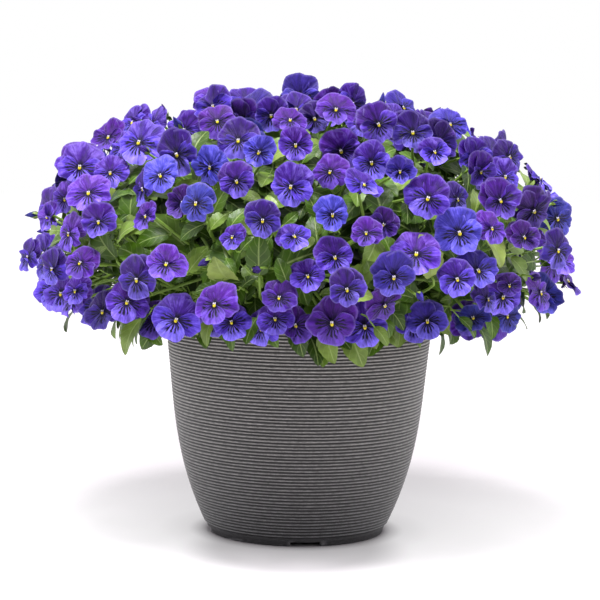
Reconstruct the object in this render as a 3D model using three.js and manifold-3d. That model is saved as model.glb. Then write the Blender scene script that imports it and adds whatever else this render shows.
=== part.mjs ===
// A potted viola: a ribbed patio pot full of soil, with a dome of violet blooms over leafy stems.
// Millimetres, +Z up. The origin is on the floor under the middle of the pot, and the front is -Y.
import * as THREE from 'three';
import { mergeVertices } from 'three/addons/utils/BufferGeometryUtils.js';
import Module from 'manifold-3d';

const wasm = await Module();
wasm.setup();

// The pot: a thin moulded shell on a notched foot ring.
const POT_HEIGHT = 209;
const RIM_RADIUS = 127;
const FOOT_RADIUS = 82;
const BELLY = 11; // how far the wall bows out past a straight taper
const BELLY_SKEW = 0.7; // under 1 puts the fullest part below half height
const BELLY_SHARPNESS = 1.4;
const WALL = 3.5;
const FLOOR_UNDERSIDE = 4.5; // the floor stands this far off the ground, inside the foot ring
const FLOOR_THICKNESS = 3.5;
const FOOT_RING_WIDTH = 9;
const BASE_BAND = 10; // plain wall below the ribs
const RIM_BAND = 11; // plain rolled band above them
const RIM_EDGE = 2; // the rim's edges are eased by this much
const RIB_COUNT = 13; // the real wall has about 62 finer ones
const RIB_DEPTH = 1;
const POT_SIDES = 27;
const SIDE_SAG = (1 + Math.cos(Math.PI / POT_SIDES)) / 2; // how far in a flat side lies, halfway to its middle
const NOTCH_COUNT = 4;
const NOTCH_WIDTH = 28;
const NOTCH_HEIGHT = 3.8;
const NOTCH_TURN = 6.5; // degrees that the first notch lies to the right of the front
const DRAIN_RADIUS = 5;
const DRAIN_CIRCLE = 48;
const DRAIN_SIDES = 8;

// The soil, and the plain holes that the stems stand in.
const SOIL_TOP = 189;
const SOIL_STEPS = 3; // bends in its side, which follows the pot's wall
const SEAT_GAP = 0.3;
const ROOT_DEPTH = 40;
const STEM_UPRIGHT = 2; // a stem rises straight this far over the soil before it leans

// The dome that the middles of the blooms lie on: a squared-off ellipse over a short tucked-in skirt.
const DOME_RADIUS = 252;
const DOME_MIDDLE = 260;
const DOME_RISE = 147;
const DOME_ROUNDNESS = 0.91;
const SKIRT_DROP = 58;
const SKIRT_ROUNDNESS = 0.6;
const SKIRT_END = 145; // degrees from the crown at which the skirt stops
const HEART = new THREE.Vector3(0, 0, 215); // stems and stalks spread from about here

// Branches leave the soil in rings, and each ring feeds a band of the dome.
const BLOOM_RINGS = [
  { count: 1, arc: 0, turn: 0 },
  { count: 5, arc: 112, turn: 0 },
  { count: 8, arc: 212, turn: 12 },
  { count: 14, arc: 308, turn: 0 },
];
const LEAF_RINGS = [
  { count: 2, arc: 58, turn: 36 },
  { count: 5, arc: 160, turn: 36 },
  { count: 7, arc: 260, turn: 4 },
  { count: 14, arc: 345, turn: 180 / 14 },
];
const OUTER_ARC = 345;
const OUTER_SOIL_RADIUS = 104;
const HUB_DEPTH = 0.6; // where a branch divides, as a share of the way out from the heart
const HUB_OVER_RIM = 18;
const ELBOW_OVER_RIM = 13;
const ELBOW_OUT = 0.27;
const ELBOW_UP = 0.45;
const STEM_RADIUS = 3.4; // to the corners of its three-sided section
const KNUCKLE_RADIUS = 5.2; // a branch ends in a knuckle of twenty faces, and each stalk grows out of one

// Blooms
const BLOOM_COUNT = 221;
const BLOOM_SEED = 27;
const BLOOM_TRIES = 40;
const BLOOM_RADIUS = 19.5;
const BLOOM_SPREAD = 0.2; // the smallest are this much smaller
const BLOOM_CROWDING = 0.5; // the largest radius, as a share of the room to the nearest bloom
const DEPTH_ROOM = 1.3; // a millimetre in front of or behind a neighbour gives this much room
const FRONT_CROWD = 0.35; // how much closer together blooms grow at the front than at the sides
const BLOOM_SINK = 0.08; // the deepest sit this far inside the dome
const BLOOM_TILT = 0.3;
const BLOOM_ROLL = 20;
const FRONT_PULL = 0.8; // how strongly blooms turn towards the light at the front
const FRONT_PULL_FROM = -30; // y up to which that pull is at its full strength
const FRONT_PULL_TO = 150; // y past which there is none
const UP_PULL = 0.35;
const LEAST_SQUARE = 0.5; // cosine of the widest angle that a stalk leaves its knuckle's face at
const LEAST_LEAN = 0.4; // cosine of the sharpest bend that a stalk makes behind its bloom or leaf
const STALK_RADIUS = 1.2; // behind its bloom or leaf
const FACE_CREST = 1.2;
const NECK_DEPTH = 3;

// Each petal: the way it points in degrees, its reach as a share of the bloom's radius, its outline's
// points as degrees off that way, and how far it stands in front of (+) or behind the face.
const PETALS = [
  { points: 60, reach: 1.0, spread: [-19, 15], lift: -3.0 },
  { points: 120, reach: 1.0, spread: [-15, 19], lift: -3.0 },
  { points: 186, reach: 0.97, spread: [-14, 15], lift: 0.4 },
  { points: 270, reach: 1.0, spread: [-21, 21], lift: 2.2 },
  { points: 354, reach: 0.97, spread: [-15, 14], lift: 0.4 },
];
const NOTCH_REACHES = [0.86, 0.76, 0.68, 0.68, 0.76]; // outline radius after each petal

// Leaves
const LEAF_COUNT = 130;
const SKIRT_LEAVES = 26; // these come first, low enough to hang over the rim
const SKIRT_BAND = 115; // measured up the dome from its lower edge
const LEAF_SEED = 7;
const LEAF_TRIES = 60;
const LEAF_LENGTH = 43;
const LEAF_SPREAD = 0.3;
const LEAF_WIDTH = 0.62; // of its length
const LEAF_SHELL = [0.8, 0.93]; // depth range, as a share of the way out from the heart
const LEAF_FOLD = 0.22;
const LEAF_DROOP = 5;
const LEAF_THICKNESS = 1.5;
const LEAF_OUT = 0.35; // how far a leaf's tip leans outwards
const LEAF_LIFT = 0.3; // and upwards, over the dome's middle
const LEAF_SAG = 0.8; // or downwards, below it
const LEAF_CLEARANCE = 4.5;
const PETIOLE_CLEARANCE = 6.5;
const BLOOM_CLEARANCE = 5;
const EDGE_ROOM = 2; // kept round the edge of a blade or bloom
const SHARED_EDGE_ROOM = 1.5; // between two leaves
const SAMPLE_RINGS = [
  { reach: 0.5, count: 6 },
  { reach: 1, count: 14 },
];
const SAMPLE_SPACING = 4; // along a stem or stalk
// Half outline from base to tip: along the length, and half width. The dent is a crenate margin's.
const LEAF_MARGIN = [
  [0.2, 0.78],
  [0.45, 1.0],
  [0.6, 0.8],
  [0.8, 0.66],
];

const UP = new THREE.Vector3(0, 0, 1);
const FRONT = new THREE.Vector3(0, -1, 0);
const degrees = THREE.MathUtils.degToRad;
const lerp = THREE.MathUtils.lerp;

const potPlastic = new THREE.MeshStandardMaterial({ color: 0x57555a, roughness: 0.55, metalness: 0 });
const pottingSoil = new THREE.MeshStandardMaterial({ color: 0x2c2119, roughness: 0.95, metalness: 0 });
const violetPetal = new THREE.MeshStandardMaterial({ color: 0x4b2db0, roughness: 0.6, metalness: 0 });
const leafGreen = new THREE.MeshStandardMaterial({ color: 0x4f7a26, roughness: 0.55, metalness: 0 });

/** Repeatable draws between 0 and 1. */
function seededDraws(seed) {
  let state = seed;
  return () => {
    state = (Math.imul(state, 1664525) + 1013904223) >>> 0;
    return state / 2 ** 32;
  };
}

/** A closed surface put together from points, and turned into a solid. */
class Shell {
  constructor() {
    this.points = [];
    this.faces = [];
  }

  add(points) {
    return points.map((point) => this.points.push(point.x, point.y, point.z) / 3 - 1);
  }

  face(a, b, c) {
    this.faces.push(a, b, c);
  }

  /** Triangles from one point to each edge of an open or closed run of points. */
  fan(hub, run) {
    for (let i = 0; i + 1 < run.length; i++) {
      this.face(hub, run[i], run[i + 1]);
    }
  }

  /** Side walls from a lower ring up to an upper one. Both run anticlockwise seen from above. */
  walls(lower, upper) {
    for (let i = 0; i < lower.length; i++) {
      const j = (i + 1) % lower.length;
      this.face(lower[i], lower[j], upper[j]);
      this.face(lower[i], upper[j], upper[i]);
    }
  }

  solid() {
    return new wasm.Manifold(
      new wasm.Mesh({
        numProp: 3,
        vertProperties: Float32Array.from(this.points),
        triVerts: Uint32Array.from(this.faces),
      })
    );
  }
}

/** A stem's three corners in the plane across a direction, anticlockwise seen from its far end. */
function corners(centre, direction, side, radius) {
  const ahead = direction.clone().normalize();
  const u = side.clone().addScaledVector(ahead, -side.dot(ahead)).normalize();
  const v = ahead.clone().cross(u);
  return [0, 1, 2].map((i) => {
    const angle = (2 * Math.PI * i) / 3;
    const out = u.clone().multiplyScalar(Math.cos(angle)).addScaledVector(v, Math.sin(angle));
    return centre.clone().addScaledVector(out, radius);
  });
}

/** A three-sided stem through a list of points, upright at its root. Its last corners can be given. */
function stemSolid(path, side, radius, tip) {
  const shell = new Shell();
  const rings = path.map((point, i) => {
    const direction = i === 0 ? UP : path[Math.min(i + 1, path.length - 1)].clone().sub(path[i - 1]);
    return corners(point, direction, side, radius);
  });
  if (tip) {
    rings[path.length - 1] = turnedToMatch(tip, rings.at(-1));
  }
  const sections = rings.map((points) => shell.add(points));
  for (let i = 1; i < sections.length; i++) {
    shell.walls(sections[i - 1], sections[i]);
  }
  shell.face(...sections[0].toReversed());
  shell.face(...sections.at(-1));
  return shell.solid();
}

/** A closed run of points started at the corner that puts it nearest to another run. */
function turnedToMatch(run, target) {
  const starts = run.map((_, start) => [...run.slice(start), ...run.slice(0, start)]);
  const misfit = (points) => points.reduce((sum, point, i) => sum + point.distanceToSquared(target[i]), 0);
  return starts.reduce((best, points) => (misfit(points) < misfit(best) ? points : best));
}

/** A three.js geometry, closed and with shared corners, as a solid. */
function solidOf(geometry) {
  const bare = geometry.clone();
  bare.deleteAttribute('normal');
  bare.deleteAttribute('uv');
  const merged = mergeVertices(bare);
  const indices = merged.index.array;
  const faces = [];
  for (let i = 0; i < indices.length; i += 3) {
    const [a, b, c] = indices.slice(i, i + 3);
    if (a !== b && b !== c && c !== a) {
      faces.push(a, b, c);
    }
  }
  const vertProperties = Float32Array.from(merged.attributes.position.array);
  return new wasm.Manifold(new wasm.Mesh({ numProp: 3, vertProperties, triVerts: Uint32Array.from(faces) }));
}

function meshOf(name, solid, material) {
  const { vertProperties, triVerts } = solid.getMesh();
  const geometry = new THREE.BufferGeometry();
  geometry.setAttribute('position', new THREE.BufferAttribute(vertProperties, 3));
  geometry.setIndex(new THREE.BufferAttribute(triVerts, 1));
  geometry.computeVertexNormals();
  const mesh = new THREE.Mesh(geometry, material);
  mesh.name = name;
  return mesh;
}

/** A solid of revolution about Z from [radius, height] pairs. */
function turned(profile) {
  const points = profile.map(([radius, height]) => new THREE.Vector2(radius, height));
  return solidOf(new THREE.LatheGeometry(points, POT_SIDES).rotateX(Math.PI / 2));
}

function wallRadius(height) {
  const rise = height / POT_HEIGHT;
  const belly = BELLY * Math.sin(Math.PI * rise ** BELLY_SKEW) ** BELLY_SHARPNESS;
  return lerp(FOOT_RADIUS, RIM_RADIUS, rise) + belly;
}

/** Heights at which the inner wall and the soil bend, from the floor to the soil's top. */
function fillHeights() {
  const floor = FLOOR_UNDERSIDE + FLOOR_THICKNESS;
  return Array.from({ length: SOIL_STEPS + 1 }, (_, i) => lerp(floor, SOIL_TOP, i / SOIL_STEPS));
}

function buildPot() {
  const ribTop = POT_HEIGHT - RIM_BAND;
  const pitch = (ribTop - BASE_BAND) / RIB_COUNT;
  const ribs = Array.from({ length: RIB_COUNT }, (_, i) => {
    const groove = BASE_BAND + i * pitch;
    const crest = groove + pitch / 2;
    return [
      [wallRadius(groove) / SIDE_SAG - RIB_DEPTH, groove],
      [wallRadius(crest) / SIDE_SAG, crest],
    ];
  }).flat();
  const ringInside = FOOT_RADIUS - FOOT_RING_WIDTH;
  const outside = [
    [0, FLOOR_UNDERSIDE],
    [ringInside, FLOOR_UNDERSIDE],
    [ringInside, 0],
    [FOOT_RADIUS, 0],
    ...ribs,
    [wallRadius(ribTop) / SIDE_SAG - RIB_DEPTH, ribTop],
    [RIM_RADIUS, ribTop + RIM_EDGE],
    [RIM_RADIUS, POT_HEIGHT - RIM_EDGE],
    [RIM_RADIUS - RIM_EDGE, POT_HEIGHT],
    [RIM_RADIUS - WALL, POT_HEIGHT],
  ];
  const inside = fillHeights()
    .toReversed()
    .map((height) => [wallRadius(height) - WALL, height]);
  const shell = turned([...outside, ...inside, [0, FLOOR_UNDERSIDE + FLOOR_THICKNESS]]);
  return shell.subtract(wasm.Manifold.union(footCuts()));
}

/** The notches through the foot ring, and a drain hole in the floor beside each. */
function footCuts() {
  return Array.from({ length: NOTCH_COUNT }, (_, i) => {
    const turn = degrees(NOTCH_TURN - 90 + (360 / NOTCH_COUNT) * i);
    const reach = 3 * FOOT_RING_WIDTH;
    const notch = new THREE.BoxGeometry(reach, NOTCH_WIDTH, 2 * NOTCH_HEIGHT);
    notch.translate(FOOT_RADIUS, 0, 0).rotateZ(turn);
    const drain = new THREE.CylinderGeometry(DRAIN_RADIUS, DRAIN_RADIUS, 4 * FLOOR_THICKNESS, DRAIN_SIDES);
    drain.rotateX(Math.PI / 2).translate(DRAIN_CIRCLE, 0, FLOOR_UNDERSIDE).rotateZ(turn);
    return [solidOf(notch), solidOf(drain)];
  }).flat();
}

function buildSoil(branches) {
  const heights = fillHeights();
  const profile = heights.map((height) => [wallRadius(height) - WALL - SEAT_GAP, height]);
  profile[0][1] += SEAT_GAP;
  const fill = turned([[0, profile[0][1]], ...profile, [0, SOIL_TOP]]);
  const holes = branches.map(({ path, side }) => {
    const bottom = path[0].clone().addScaledVector(UP, -SEAT_GAP);
    const top = path[1].clone().addScaledVector(UP, ROOT_DEPTH);
    return stemSolid([bottom, top], side, STEM_RADIUS + 2 * SEAT_GAP);
  });
  return fill.subtract(wasm.Manifold.union(holes));
}

/** The dome's profile as points with their distance along it from the crown. */
const domeProfile = (() => {
  const profile = [];
  for (let step = 0; step <= SKIRT_END; step++) {
    const angle = degrees(step);
    const upper = step <= 90;
    const power = upper ? DOME_ROUNDNESS : SKIRT_ROUNDNESS;
    const radius = DOME_RADIUS * Math.abs(Math.sin(angle)) ** power;
    const rise = Math.abs(Math.cos(angle)) ** power;
    const height = DOME_MIDDLE + (upper ? DOME_RISE * rise : -SKIRT_DROP * rise);
    const before = profile.at(-1);
    const arc = before ? before.arc + Math.hypot(radius - before.radius, height - before.height) : 0;
    profile.push({ arc, radius, height });
  }
  return profile;
})();
const DOME_ARC = domeProfile.at(-1).arc;

function onDome(arc, azimuth) {
  const next = Math.max(
    1,
    domeProfile.findIndex((sample) => sample.arc >= Math.min(arc, DOME_ARC))
  );
  const [low, high] = [domeProfile[next - 1], domeProfile[next]];
  const share = (Math.min(arc, DOME_ARC) - low.arc) / (high.arc - low.arc);
  const radius = lerp(low.radius, high.radius, share);
  const height = lerp(low.height, high.height, share);
  return new THREE.Vector3(radius * Math.cos(azimuth), radius * Math.sin(azimuth), height);
}

/** A place drawn evenly over the dome from one ring down, and sunk to a share of its way from the heart. */
function drawSite(draw, depth, topArc = 0) {
  for (;;) {
    const arc = lerp(topArc, DOME_ARC, draw());
    const azimuth = draw() * 2 * Math.PI;
    const site = onDome(arc, azimuth);
    if (draw() * DOME_RADIUS <= Math.hypot(site.x, site.y)) {
      return site.sub(HEART).multiplyScalar(depth).add(HEART);
    }
  }
}

/** One branch for each place in the rings: its path up out of the soil, and the dome place it serves. */
function growBranches(rings) {
  return rings.flatMap(({ count, arc, turn }) =>
    Array.from({ length: count }, (_, i) => {
      const azimuth = degrees(turn + (360 / count) * i - 90);
      const out = new THREE.Vector3(Math.cos(azimuth), Math.sin(azimuth), 0);
      const crown = onDome(arc, azimuth);
      const hub = HEART.clone().lerp(crown, HUB_DEPTH);
      hub.z = Math.max(hub.z, POT_HEIGHT + HUB_OVER_RIM);
      const soilRadius = (OUTER_SOIL_RADIUS * arc) / OUTER_ARC;
      const at = (radius, height) => out.clone().multiplyScalar(radius).setZ(height);
      const elbow = at(
        lerp(soilRadius, Math.hypot(hub.x, hub.y), ELBOW_OUT),
        Math.max(lerp(SOIL_TOP, hub.z, ELBOW_UP), POT_HEIGHT + ELBOW_OVER_RIM)
      );
      const foot = at(soilRadius, SOIL_TOP - ROOT_DEPTH);
      const path = [foot, at(soilRadius, SOIL_TOP + STEM_UPRIGHT), elbow, hub];
      const side = UP.clone().cross(out);
      return { crown, path, side, faces: knuckleFaces(hub, hub.clone().sub(elbow), side), fed: [] };
    })
  );
}

/** The knuckle's twenty three-cornered faces, the first of them square to the branch that it ends. */
function knuckleFaces(hub, direction, side) {
  const { position } = new THREE.IcosahedronGeometry(KNUCKLE_RADIUS).attributes;
  const corner = (_, i) => new THREE.Vector3().fromBufferAttribute(position, i);
  const local = Array.from({ length: position.count }, corner);
  const base = local[0].clone().add(local[1]).add(local[2]).normalize();
  const sideways = local[0].clone().addScaledVector(base, -local[0].dot(base)).normalize();
  const from = new THREE.Matrix4().makeBasis(sideways, base.clone().cross(sideways), base).transpose();
  const down = direction.clone().normalize().negate();
  const to = new THREE.Matrix4().makeBasis(side, down.clone().cross(side), down).setPosition(hub);
  const placed = local.map((point) => point.applyMatrix4(from).applyMatrix4(to));
  return Array.from({ length: placed.length / 3 }, (_, i) => placed.slice(3 * i, 3 * i + 3));
}

const centreOf = (points) =>
  points.reduce((sum, point) => sum.add(point), new THREE.Vector3()).divideScalar(points.length);

/** How squarely a knuckle's face looks at a place: 1 is straight at it. */
function squareness(branch, face, place) {
  const middle = centreOf(face);
  const out = middle.clone().sub(branch.path.at(-1)).normalize();
  return out.dot(place.clone().sub(middle).normalize());
}

/** The nearest branch with a face that has no stalk yet and looks well enough at a place, and that face. */
function seatFor(place, branches) {
  const byCrown = branches.toSorted((a, b) => a.crown.distanceTo(place) - b.crown.distanceTo(place));
  for (const branch of byCrown) {
    const used = new Set(branch.fed.map((limb) => limb.foot));
    const free = branch.faces.slice(1).filter((face) => !used.has(face));
    const look = (face) => squareness(branch, face, place);
    const foot = free.reduce((best, face) => (look(face) > look(best) ? face : best));
    if (look(foot) > LEAST_SQUARE) {
      return { branch, foot };
    }
  }
}

/** Right, up and facing directions of a blade or bloom at a place. */
function frameAt(place, facing, upward, roll = 0) {
  const z = facing.clone().normalize();
  const x = upward.clone().cross(z).normalize().applyAxisAngle(z, roll);
  const y = z.clone().cross(x);
  return new THREE.Matrix4().makeBasis(x, y, z).setPosition(place);
}

/** The way a bloom at a place looks: outwards, up a little, and round towards the front. */
function outlook(place) {
  const outward = new THREE.Vector3(place.x, place.y, 0).divideScalar(DOME_RADIUS);
  const share = (FRONT_PULL_TO - place.y) / (FRONT_PULL_TO - FRONT_PULL_FROM);
  const pull = FRONT_PULL * THREE.MathUtils.clamp(share, 0, 1);
  return outward.addScaledVector(FRONT, pull).addScaledVector(UP, UP_PULL).normalize();
}

/** How far apart two blooms are, counting distance in front or behind for more than sideways. */
function roomBetween(bloom, other) {
  const apart = other.place.clone().sub(bloom.place);
  const deep = apart.dot(bloom.outlook);
  return Math.hypot(apart.addScaledVector(bloom.outlook, -deep).length(), DEPTH_ROOM * deep);
}

function placeBlooms(branches) {
  const draw = seededDraws(BLOOM_SEED);
  const blooms = [];
  for (let i = 0; i < BLOOM_COUNT; i++) {
    let best = { room: -1 };
    for (let k = 0; k < BLOOM_TRIES; k++) {
      const place = drawSite(draw, 1 - BLOOM_SINK * draw());
      const bloom = { place, outlook: outlook(place) };
      const clear = Math.min(Infinity, ...blooms.map((other) => roomBetween(bloom, other)));
      const room = clear * (1 + FRONT_CROWD * Math.max(0, -place.y / DOME_RADIUS));
      if (room > best.room) {
        best = { bloom, room };
      }
    }
    blooms.push(best.bloom);
  }
  for (const bloom of blooms) {
    const { place } = bloom;
    const { branch, foot } = seatFor(place, branches);
    const facing = bloom.outlook.clone();
    facing.x += BLOOM_TILT * (draw() - 0.5) * 2;
    facing.y += BLOOM_TILT * (draw() - 0.5) * 2;
    facing.z += BLOOM_TILT * (draw() - 0.5) * 2;
    const roll = degrees(BLOOM_ROLL * (draw() - 0.5) * 2);
    const others = blooms.filter((other) => other !== bloom);
    const room = Math.min(...others.map((other) => roomBetween(bloom, other)));
    const drawn = BLOOM_RADIUS * (1 - BLOOM_SPREAD * draw() ** 2);
    bloom.radius = Math.min(drawn, BLOOM_CROWDING * room);
    bloom.foot = foot;
    const stalk = place.clone().sub(centreOf(foot)).normalize();
    const shy = Math.max(0, LEAST_LEAN - facing.normalize().dot(stalk));
    bloom.frame = frameAt(place, facing.addScaledVector(stalk, shy), UP, roll);
    bloom.neck = new THREE.Vector3(0, 0, -NECK_DEPTH).applyMatrix4(bloom.frame);
    branch.fed.push(bloom);
  }
  return blooms;
}

/** The bloom's outline in its own plane, anticlockwise from the first petal, two points a petal. */
function petalOutline(radius) {
  return PETALS.flatMap(({ points, reach, spread, lift }, i) => {
    const next = PETALS[(i + 1) % PETALS.length];
    const edge = spread.map((off) => [points + off, reach, lift]);
    const gap = (next.points + (i + 1 === PETALS.length ? 360 : 0) + points) / 2;
    return [...edge, [gap, NOTCH_REACHES[i], (lift + next.lift) / 2]];
  }).map(([angle, reach, lift]) => {
    const turn = degrees(angle);
    return new THREE.Vector3(reach * radius * Math.cos(turn), reach * radius * Math.sin(turn), lift);
  });
}

/** A bloom as one thin body: a face of five petals whose back draws in to a stalk. */
function bloomSolid({ frame, radius, foot }) {
  const shell = new Shell();
  const flat = petalOutline(radius);
  const place = (point) => point.clone().applyMatrix4(frame);
  const outline = shell.add(flat.map(place));
  const [face] = shell.add([place(new THREE.Vector3(0, 0, FACE_CREST))]);
  shell.fan(face, [...outline, outline[0]]);

  const third = outline.length / 3;
  const necks = [0, 1, 2].map((k) => {
    const aim = flat[k * third + Math.floor(third / 2)].clone().setZ(0).setLength(STALK_RADIUS);
    return aim.setZ(-NECK_DEPTH);
  });
  const neck = shell.add(necks.map(place));
  outline.forEach((point, i) => {
    const next = outline[(i + 1) % outline.length];
    const here = Math.floor(i / third);
    const after = Math.floor(((i + 1) % outline.length) / third);
    shell.face(next, point, neck[here]);
    if (after !== here) {
      shell.face(next, neck[here], neck[after]);
    }
  });

  const root = shell.add(turnedToMatch(foot, necks.map(place)));
  shell.walls(root, neck);
  shell.face(...root.toReversed());
  return shell.solid();
}

/** Points spread over a flat oval, ending at its edge, for measuring clearances. */
function ovalPoints(frame, middle, halfLength, halfWidth) {
  const points = [new THREE.Vector3(0, middle, 0)];
  for (const { reach, count } of SAMPLE_RINGS) {
    for (let i = 0; i < count; i++) {
      const turn = (2 * Math.PI * i) / count;
      const x = reach * halfWidth * Math.cos(turn);
      const y = middle + reach * halfLength * Math.sin(turn);
      points.push(new THREE.Vector3(x, y, 0));
    }
  }
  return points.map((point) => point.applyMatrix4(frame));
}

function linePoints(from, to) {
  const steps = Math.max(1, Math.ceil(from.distanceTo(to) / SAMPLE_SPACING));
  return Array.from({ length: steps + 1 }, (_, i) => from.clone().lerp(to, i / steps));
}

function pathPoints({ path }) {
  return path.slice(1).flatMap((to, i) => linePoints(path[i], to));
}

/** What a blade or bloom fills: an oval slab, and points over it. */
function footprint(frame, middle, halfLength, halfWidth, depth) {
  return {
    inverse: frame.clone().invert(),
    middle,
    halfLength,
    halfWidth,
    depth,
    centre: new THREE.Vector3(0, middle, 0).applyMatrix4(frame),
    points: ovalPoints(frame, middle, halfLength, halfWidth),
  };
}

function slabHolds(slab, point, margin) {
  const reach = Math.max(slab.halfLength, slab.halfWidth) + margin + slab.depth;
  if (slab.centre.distanceToSquared(point) > reach * reach) {
    return false;
  }
  const local = point.clone().applyMatrix4(slab.inverse);
  const across = local.x / (slab.halfWidth + margin);
  const along = (local.y - slab.middle) / (slab.halfLength + margin);
  return Math.abs(local.z) < slab.depth && across * across + along * along < 1;
}

function potIsClear(point) {
  const overRim = point.z > POT_HEIGHT + LEAF_CLEARANCE;
  const outside = Math.hypot(point.x, point.y) > RIM_RADIUS + LEAF_CLEARANCE;
  return overRim || outside;
}

/** Hangs the leaves on their branches, each in a gap where it touches nothing on another stem. */
function placeLeaves(branches, blooms, bloomBranches) {
  const draw = seededDraws(LEAF_SEED);
  const bloomSlabs = blooms.map(({ frame, radius }) => footprint(frame, 0, radius, radius, BLOOM_CLEARANCE));
  const lines = [
    ...blooms.flatMap(({ foot, neck }) => linePoints(centreOf(foot), neck)),
    ...bloomBranches.flatMap(pathPoints),
  ];
  const stems = branches.map(pathPoints);
  const leaves = [];
  for (let i = 0; i < LEAF_COUNT; i++) {
    let best = { room: 0 };
    for (let k = 0; k < LEAF_TRIES; k++) {
      const leaf = drawLeaf(draw, branches, i < SKIRT_LEAVES ? DOME_ARC - SKIRT_BAND : 0);
      const fromBlooms = Math.min(...blooms.map((bloom) => bloom.place.distanceTo(leaf.middle)));
      const fromLeaves = Math.min(Infinity, ...leaves.map((other) => other.middle.distanceTo(leaf.middle)));
      const room = Math.min(fromBlooms, fromLeaves);
      if (room > best.room && leafIsClear(leaf, leaves, bloomSlabs, lines, stems, branches)) {
        best = { leaf, room };
      }
    }
    if (best.leaf) {
      leaves.push(best.leaf);
      best.leaf.branch.fed.push(best.leaf);
    }
  }
}

function drawLeaf(draw, branches, topArc) {
  const middle = drawSite(draw, lerp(...LEAF_SHELL, draw()), topArc);
  const length = LEAF_LENGTH * (1 - LEAF_SPREAD * draw());
  const spin = 2 * Math.PI * draw();
  const below = middle.z < DOME_MIDDLE;
  const rise = (middle.z - DOME_MIDDLE) / (below ? SKIRT_DROP : DOME_RISE);
  const normal = new THREE.Vector3(middle.x / DOME_RADIUS, middle.y / DOME_RADIUS, below ? 0 : rise);
  normal.normalize();
  const tangent = new THREE.Vector3(-middle.y, middle.x, 0).normalize();
  const slope = normal.clone().cross(tangent);
  const along = tangent.multiplyScalar(Math.cos(spin)).addScaledVector(slope, Math.sin(spin));
  along.addScaledVector(normal, LEAF_OUT).addScaledVector(UP, below ? -LEAF_SAG : LEAF_LIFT).normalize();
  normal.addScaledVector(along, -normal.dot(along)).normalize();
  const base = middle.clone().addScaledVector(along, -length / 2);
  const frame = new THREE.Matrix4().makeBasis(along.clone().cross(normal), along, normal).setPosition(base);
  const { branch, foot } = seatFor(base, branches);
  const slab = footprint(frame, length / 2, length / 2, (length * LEAF_WIDTH) / 2, LEAF_CLEARANCE);
  return { middle, base, frame, length, branch, foot, slab, petiole: linePoints(centreOf(foot), base) };
}

function leafIsClear(leaf, leaves, bloomSlabs, lines, stems, branches) {
  const { slab, petiole } = leaf;
  const mine = [...slab.points, ...petiole.slice(2)];
  const touches = (other, margin) =>
    mine.some((point) => slabHolds(other, point, margin)) ||
    other.points.some((point) => slabHolds(slab, point, margin));
  const strangers = leaves.filter((other) => other.branch !== leaf.branch);
  const otherStems = stems.filter((_, i) => branches[i] !== leaf.branch).flat();
  const thin = [...lines, ...otherStems, ...strangers.flatMap((other) => other.petiole)];
  const nearPetiole = (point) =>
    petiole.some((mineToo) => mineToo.distanceToSquared(point) < PETIOLE_CLEARANCE ** 2);
  const along = new THREE.Vector3().setFromMatrixColumn(leaf.frame, 1);
  return (
    along.dot(leaf.base.clone().sub(petiole[0]).normalize()) > LEAST_LEAN &&
    mine.every(potIsClear) &&
    !bloomSlabs.some((other) => touches(other, EDGE_ROOM)) &&
    !leaves.some((other) => touches(other.slab, SHARED_EDGE_ROOM)) &&
    !strangers.some((other) => petiole.some((point) => slabHolds(other.slab, point, EDGE_ROOM))) &&
    !thin.some((point) => slabHolds(slab, point, EDGE_ROOM) || nearPetiole(point))
  );
}

/** A leaf as one thin body: a folded, drooping blade with a scalloped edge, on a three-sided stalk. */
function leafSolid({ frame, length, foot }) {
  const shell = new Shell();
  const halfWidth = (length * LEAF_WIDTH) / 2;
  const bend = (x, y) => LEAF_FOLD * Math.abs(x) - LEAF_DROOP * (2 * (y / length) - 1) ** 2;
  const place = (x, y, lift = 0) => new THREE.Vector3(x, y, bend(x, y) + lift).applyMatrix4(frame);
  const right = LEAF_MARGIN.map(([along, wide]) => place(halfWidth * wide, length * along));
  const left = LEAF_MARGIN.map(([along, wide]) => place(-halfWidth * wide, length * along));
  const neck = [place(-STALK_RADIUS, 0), place(STALK_RADIUS, 0), place(0, 0, -2 * STALK_RADIUS)];
  const outline = shell.add([neck[1], ...right, place(0, length), ...left.toReversed(), neck[0]]);
  const [top, bottom, heel] = shell.add([
    place(0, length / 2, LEAF_THICKNESS / 2),
    place(0, length / 2, -LEAF_THICKNESS / 2),
    neck[2],
  ]);
  shell.fan(top, [...outline, outline[0]]);
  shell.fan(bottom, [...outline.toReversed(), heel, outline.at(-1)]);
  const root = shell.add(turnedToMatch(foot, neck));
  shell.walls(root, [outline.at(-1), outline[0], heel]);
  shell.face(...root.toReversed());
  return shell.solid();
}

/** A branch with its knuckle, and the stalks that grow out of the knuckle's faces. */
function buildBranch({ path, side, faces, fed }, limb) {
  const stem = [...path.slice(0, -1), centreOf(faces[0])];
  const parts = [stemSolid(stem, side, STEM_RADIUS, faces[0].toReversed()), knuckleSolid(faces)];
  return wasm.Manifold.union([...parts, ...fed.map(limb)]);
}

function knuckleSolid(faces) {
  return solidOf(new THREE.BufferGeometry().setFromPoints(faces.flat()));
}

const planter = new THREE.Group();
const bloomBranches = growBranches(BLOOM_RINGS);
const leafBranches = growBranches(LEAF_RINGS);
const blooms = placeBlooms(bloomBranches);
placeLeaves(leafBranches, blooms, bloomBranches);

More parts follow.
